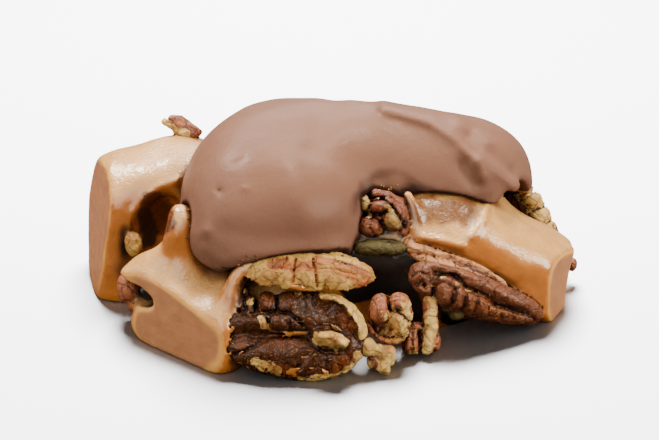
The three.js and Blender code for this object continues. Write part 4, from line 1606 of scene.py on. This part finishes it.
@dataclass(frozen=True)
class Chocolate:
    """The thick pour of milk chocolate over the caramel, with its hanging lip."""

    caramel: Caramel
    cell: float = 0.48
    blend: float = 5.0
    lip_rounding: float = 3.2
    foot: float = 0.9  # rounding where the pour meets what it lies on
    lip_height: float = 12.6
    gap: float = 0.05  # to what it lies on
    bulges: tuple[Fold, ...] = (
        Fold((-9, -5.6, 16.6), (14.6, 15.4, 12.3), 2.3, 0, 8),
        Fold((-14, -14.8, 16.6), (6.2, 6.6, 5.2), 2.2),
        Fold((-5.4, 4.6, 17), (14.4, 13.6, 11.7), 2.4),
        Fold((5, 3.6, 17.6), (14, 11.6, 10.6), 2.2),
        Fold((15, 0.6, 16.8), (14, 9.8, 10.4), 2.2, -12),
        Fold((18.4, 7.4, 15.4), (13, 11.2, 9.6), 2.3, -10),
    )
    rises: tuple[tuple[Spot, float, float], ...] = (  # where the lip rises: place, how much, how wide
        ((8.2, -3), 8.8, 6.6),
        ((17.5, -2.5), 6.0, 7.5),
        ((26, -2), 6.4, 6.0),
        ((-23, -11), 4.0, 5.0),
    )
    strokes: tuple[Stroke, ...] = (
        Stroke(
            ((8.7, 17.6), (11.8, 16.8), (15.9, 15.5), (20.3, 12.4), (22.7, 9.7), (24.1, 6.9)),
            -1.2,
            1.1,
        ),
        Stroke(((22, 13.2), (24.7, 10.7), (28.1, 7.8)), 1.0, 1.25),
        Stroke(((20, 15.1), (22.5, 13.6), (24.7, 11.9)), -0.6, 0.78),
        Stroke(((20.9, 8.5), (22.7, 5.6)), 1.0, 1.25),
        Stroke(((23.8, 9.4), (25.8, 8.2), (27.7, 6.7), (29.2, 5.2)), -1.2, 0.94),
        Stroke(((-16.4, -1.9), (-10.6, -2.8), (-4.6, -2.5), (0.9, -1.9)), 0.4, 1.57),
        Stroke(((0.9, 18.8), (-1.2, 14.9), (-2.7, 11)), 0.6, 2.19),
        Stroke(((-6.2, 7.8), (-4.6, 2.4), (-3.1, -0.8)), -0.5, 2.51),
        Stroke(((-17.3, 4.5),), 0.55, 0.38),
        Stroke(((-18.1, 4.2),), -0.2, 0.39),
        Stroke(((-13.1, 5),), -0.3, 0.47),
        Stroke(((-14.7, 8.9), (-13.4, 9.6)), 0.15, 0.39),
        Stroke(((-19.4, -1.7),), -0.5, 0.94),
        Stroke(((-7.1, 15.5),), -0.15, 0.47),
        Stroke(((-19.5, -4.7), (-16.9, -6.6), (-12.5, -5.6), (-4.6, -4.5), (2.4, -4.5)), -0.35, 0.94),
        Stroke(((-22.2, 3.1), (-20.9, -0.8)), 0.3, 1.1),
    )
    lip_shade: tuple[Mark, ...] = (  # painted shade: the dark rim under the lip
        Mark(
            (
                (3.5, 0.9), (3.8, 2.8), (5.1, 5), (7, 6.6), (9.2, 7.4),
                (11.7, 7.2), (14.8, 5.5), (17.3, 4.4), (20.5, 4.1), (25.2, 3.8),
            ),
            1.57,
            core=0,
        ),
    )

    @property
    def box(self) -> Array:
        """The lowest and highest corner of a box that holds the chocolate."""
        return np.array(((-27, -25, 8), (36, 23, 31)), float)

    def value(self, points: Array) -> Array:
        """Gives the chocolate's field."""
        bulges = blended((bulge.value(points) for bulge in self.bulges), self.blend)
        close = np.abs(bulges) < 4
        spots = VIEW.spots(points[close])
        worked = sum(stroke.value(spots) for stroke in self.strokes) * smoothstep(spots[:, 2], -9, -3)
        bulges[close] += worked + 0.18 * NOISE.rough(points[close] + 50, 9.0, 2)
        lip = np.full(len(points), self.lip_height)
        for (x, y), rise, wide in self.rises:
            lip += rise * np.exp(-((np.hypot(points[:, 0] - x, points[:, 1] - y) / wide) ** 3))
        values = soft_max(bulges, lip - points[:, 2], self.lip_rounding)
        caramel = self.caramel.poured(points) + self.caramel.swell(points)
        under = np.minimum(caramel, pecans_value(points))
        return soft_max(values, self.gap - under, self.foot)

    def make(self, finish: Material, over: Field) -> Object:
        """Makes the chocolate.

        Args:
            finish: Its material.
            over: The field of everything near it, by which shade is painted on it.
        """
        corners, quads, outwards = drawn(self.cell, self.value, self.box)
        # Painted shade: darker in hollows, next to other pieces and along the underside of the lip
        near, far = (hollow_shade(over, corners, outwards, reach) for reach in (1.6, 4.0))
        spots = crooked(corners)
        edge = marked(self.lip_shade, spots, NOISE.rough(corners, 3.0, 2)) * smoothstep(spots[:, 2], 0, 4)
        masks = {"hollow_shade": np.clip(0.5 * near + 0.6 * far + 0.4 * edge, 0, 1)}
        return make_piece("chocolate_pour", corners, quads, masks, finish)


def together(caramel: Caramel, chocolate: Chocolate, points: Array) -> Array:
    """Gives the field of all the pieces together."""
    return reduce(np.minimum, (caramel.value(points), chocolate.value(points), pecans_value(points)))


@dataclass(frozen=True)
class Crumbs:
    """Crumbs that lie in patches on the pieces."""

    name: str
    tone: PecanTone
    patches: tuple[Mark, ...]
    density: float  # crumbs on a square millimetre
    small: float  # least radius, in millimetres
    large: float  # most
    pale: float  # 1 where they are flesh, 0 where they are skin
    seed: int

    def tree(self) -> Tree:
        """Builds the nodes that scatter the crumbs over a mesh."""
        tree = bpy.data.node_groups.new(self.name, "GeometryNodeTree")
        sockets = dict.fromkeys(("Density", "Small", "Large"), "Float")
        sockets = {"Patch": "Geometry", **sockets, "Seed": "Int", "Finish": "Material"}
        for socket, kind in sockets.items():
            tree.interface.new_socket(socket, in_out="INPUT", socket_type=f"NodeSocket{kind}")
        tree.interface.new_socket("Crumbs", in_out="OUTPUT", socket_type="NodeSocketGeometry")
        nodes = Nodes(tree)
        given = nodes.add("NodeGroupInput").outputs
        inputs = {"Mesh": given["Patch"], "Density": given["Density"], "Seed": given["Seed"]}
        points = nodes.add("GeometryNodeDistributePointsOnFaces", inputs)
        crumb = nodes.add("GeometryNodeMeshIcoSphere", {"Radius": 1.0, "Subdivisions": 1})
        least, most = (
            nodes.add("ShaderNodeCombineXYZ", dict.fromkeys(range(3), given[limit])).outputs[0]
            for limit in ("Small", "Large")
        )
        inputs = {0: least, 1: most, "Seed": given["Seed"]}
        size = nodes.add("FunctionNodeRandomValue", inputs, data_type="FLOAT_VECTOR")
        inputs = {0: (0, 0, 0), 1: (6.28, 6.28, 6.28), "Seed": 3}
        turn = nodes.add("FunctionNodeRandomValue", inputs, data_type="FLOAT_VECTOR")
        inputs = {
            "Points": points.outputs["Points"],
            "Instance": crumb.outputs["Mesh"],
            "Rotation": turn.outputs[0],
            "Scale": size.outputs[0],
        }
        placed = nodes.add("GeometryNodeInstanceOnPoints", inputs)
        real = nodes.add("GeometryNodeRealizeInstances", {"Geometry": placed.outputs["Instances"]})
        inputs = {"Geometry": real.outputs[0], "Material": given["Finish"]}
        done = nodes.add("GeometryNodeSetMaterial", inputs)
        nodes.add("NodeGroupOutput", {"Crumbs": done.outputs[0]})
        return tree

    def patch(self, pieces: Iterable[Object]) -> Object:
        """Cuts the patches out of the pieces' surfaces.

        Args:
            pieces: The pieces that the crumbs may lie on.

        Returns:
            An object of the faces that lie in a patch and look to the front.
        """
        mesh = bpy.data.meshes.new(self.name + "_patch")
        corners: list[Array] = []
        for piece in pieces:
            polygons = piece.data.polygons
            places = np.empty(3 * len(piece.data.vertices))
            piece.data.vertices.foreach_get("co", places)
            quads = np.empty(4 * len(polygons), dtype=np.int32)
            polygons.foreach_get("vertices", quads)
            normals = np.empty(3 * len(polygons))
            polygons.foreach_get("normal", normals)
            faces = (places.reshape(-1, 3) / MM + np.array(CENTRE))[quads.reshape(-1, 4)]
            middles = faces.mean(axis=1)
            spots = VIEW.spots(middles)
            within = marked(self.patches, spots, np.zeros(len(spots))) > 0.5
            corners.append(faces[within & (normals.reshape(-1, 3) @ VIEW.towards > 0.2) & (spots[:, 2] > 0)])
        faces = np.concatenate(corners)
        places = ((faces.reshape(-1, 3) - np.array(CENTRE)) * MM).tolist()
        mesh.from_pydata(places, [], np.arange(len(places)).reshape(-1, 4).tolist())
        return add_object(self.name + "_patch", mesh)

    def make(self, pieces: Iterable[Object], tones: dict[PecanTone, Material]) -> Object:
        """Makes the crumbs.

        Args:
            pieces: The pieces that the crumbs may lie on.
            tones: The pecan finishes.

        Returns:
            One object with all the crumbs.
        """
        patch = self.patch(pieces)
        tree = self.tree()
        values = {
            "Density": self.density / MM**2,
            "Small": self.small * MM,
            "Large": self.large * MM,
            "Seed": self.seed,
            "Finish": tones[self.tone],
        }
        scatter = patch.modifiers.new("crumbs", "NODES")
        scatter.node_group = tree
        for item in tree.interface.items_tree:
            if item.in_out == "INPUT" and item.name in values:
                scatter[item.identifier] = values[item.name]
        scattered = patch.evaluated_get(bpy.context.evaluated_depsgraph_get())
        mesh = bpy.data.meshes.new_from_object(scattered)
        patch.modifiers.clear()
        bpy.data.objects.remove(patch)
        cream = mesh.attributes.new("cream", "FLOAT", "POINT")
        cream.data.foreach_set("value", np.full(len(mesh.vertices), self.pale, np.float32))
        mesh.shade_smooth()
        return add_object(self.name, mesh)


CRUMBS: tuple[Crumbs, ...] = (
    Crumbs(
        name="skin_crumbs",
        tone=PecanTone.WARM,
        patches=(
            Mark(((12.5, -16.5), (13.6, -17.2), (14.8, -16.8)), 0.94),
            Mark(((-14, -6.7), (-12.8, -6.1), (-11.2, -5.6)), 0.63),
            Mark(((-4.8, -15.1),), 0.55),
            Mark(((-22.2, 1.6), (-22, -0.3), (-22.3, -2.5)), 0.39),
        ),
        density=1.6,
        small=0.1,
        large=0.3,
        pale=0.0,
        seed=5,
    ),
    Crumbs(
        name="kernel_crumbs",
        tone=PecanTone.GOLD,
        patches=(
            Mark(((8.5, 5.2), (10.1, 5.5), (11.7, 5.2)), 0.63),
            Mark(((7.4, -12.5), (8.1, -14.4)), 0.94),
            Mark(((12.8, -16.6), (14.2, -17.2)), 0.78),
        ),
        density=1.2,
        small=0.08,
        large=0.24,
        pale=1.0,
        seed=8,
    ),
)


class Reach(Enum):
    """What a light falls on."""

    CLUSTER = "EXCLUDE"
    FLOOR = "INCLUDE"


@dataclass(frozen=True)
class SoftLight:
    """A large soft light: its place, size and aim in millimetres, and its power in watts."""

    name: str
    at: Triple
    size: float
    watts: float
    aim: Triple = (0, 0, 10)
    reach: Reach = Reach.CLUSTER

    def make(self, floor: Object) -> None:
        """Makes the light.

        Args:
            floor: The floor, which the light spares or alone falls on.
        """
        light = bpy.data.lights.new(self.name, "AREA")
        light.shape = "DISK"
        light.size = self.size * MM
        light.energy = self.watts
        lamp = add_object(self.name, light)
        lamp.location = Vector(self.at) * MM
        way = Vector(self.aim) - Vector(self.at)
        lamp.rotation_euler = way.to_track_quat("-Z", "Y").to_euler()
        linked = bpy.data.collections.new(f"{self.name} reach")
        linked.objects.link(floor)
        lamp.light_linking.receiver_collection = linked
        linked.collection_objects[0].light_linking.link_state = self.reach.value


@dataclass(frozen=True)
class Studio:
    """The pale floor, the soft light round it and the camera."""

    floor: float = 2000.0
    white: float = 0.08  # strength of the world as a light
    seen: float = 6.0  # and as the camera sees it
    pale: float = 0.92  # the floor as the camera sees it
    bounce: float = 0.02  # and as it lights the cluster from below
    lights: tuple[SoftLight, ...] = (
        SoftLight("key light", (-20, 60, 400), 460, 2.2),
        SoftLight("back light", (30, 380, 290), 420, 2.6),
        SoftLight("right light", (340, -120, 190), 260, 3.2),
        SoftLight("left light", (-340, -60, 200), 260, 0.8),
        SoftLight("front light", (-150, -320, 260), 360, 1.8),
        SoftLight("left glint", (-165, 190, 310), 90, 2.4),
        SoftLight("right glint", (75, 160, 360), 70, 1.3),
        SoftLight("floor light", (0, 170, 330), 200, 12.0, reach=Reach.FLOOR),
    )

    def make(self) -> None:
        """Makes the floor, the lights, the world and the camera."""
        half = self.floor / 2 * MM
        mesh = bpy.data.meshes.new("floor")
        corners = [(-half, -half, 0), (half, -half, 0), (half, half, 0), (-half, half, 0)]
        mesh.from_pydata(corners, [], [(0, 1, 2, 3)])
        floor = add_object("floor", mesh)
        paint = bpy.data.materials.new("pale floor")
        paint.use_nodes = True
        shader = paint.node_tree.nodes["Principled BSDF"]
        nodes = Nodes(paint.node_tree)
        seen = nodes.add("ShaderNodeLightPath").outputs["Is Camera Ray"]
        tints = [(shade, shade * 0.99, shade, 1) for shade in (self.bounce, self.pale)]
        nodes.tree.links.new(nodes.mixed(seen, *tints), shader.inputs["Base Color"])
        shader.inputs["Roughness"].default_value = 0.7
        shader.inputs["Specular IOR Level"].default_value = 0.2
        mesh.materials.append(paint)
        for light in self.lights:
            light.make(floor)
        world = bpy.data.worlds.new("studio")
        world.use_nodes = True
        nodes = Nodes(world.node_tree)
        seen = nodes.add("ShaderNodeLightPath").outputs["Is Camera Ray"]
        span = {"Value": seen, "To Min": self.white, "To Max": self.seen}
        strength = nodes.add("ShaderNodeMapRange", span).outputs[0]
        background = world.node_tree.nodes["Background"]
        background.inputs["Color"].default_value = (1, 1, 1, 1)
        nodes.tree.links.new(strength, background.inputs["Strength"])
        bpy.context.scene.world = world
        self.make_camera()

    def make_camera(self) -> None:
        """Makes the camera at the front view's eye."""
        camera = add_object("camera", bpy.data.cameras.new("camera"))
        camera.data.lens = VIEW.lens
        camera.data.sensor_width = VIEW.sensor
        camera.data.clip_start = 0.01
        eye = np.array(VIEW.aim) + VIEW.towards * VIEW.distance - np.array(CENTRE)
        camera.location = Vector(eye * MM)
        camera.rotation_mode = "QUATERNION"
        camera.rotation_quaternion = Vector(-VIEW.towards).to_track_quat("-Z", "Y")
        bpy.context.scene.camera = camera


def carry(piece: Object, slot: str, *nodes: str) -> Object:
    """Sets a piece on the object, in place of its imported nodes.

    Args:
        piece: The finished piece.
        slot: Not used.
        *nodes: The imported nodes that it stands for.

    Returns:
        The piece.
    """
    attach(piece, "root")
    if nodes:
        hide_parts(*nodes)
    log.info("%s: %d faces, %s", piece.name, len(piece.data.polygons), ", ".join(nodes) or "extra")
    return piece


def main() -> None:
    """Builds the cluster over its frame, piece by piece."""
    logging.basicConfig(level=logging.INFO, format="%(relativeCreated)d %(message)s")
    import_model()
    Studio().make()
    groups = Groups()
    caramel = Caramel()
    chocolate = Chocolate(caramel)
    over = partial(together, caramel, chocolate)
    pieces = [
        carry(caramel.make(CaramelFinish().make(groups), chocolate.value), "caramel", "caramel"),
        carry(chocolate.make(ChocolateFinish().make(groups), over), "chocolate", "chocolate"),
    ]
    tones = {tone: tone.value.make(groups) for tone in PecanTone}
    pieces += [carry(pecan.make(tones), "pecan", pecan.node) for pecan in PECANS]
    for crumbs in CRUMBS:
        carry(crumbs.make(pieces, tones), "pecan")


if __name__ == "__main__":
    main()
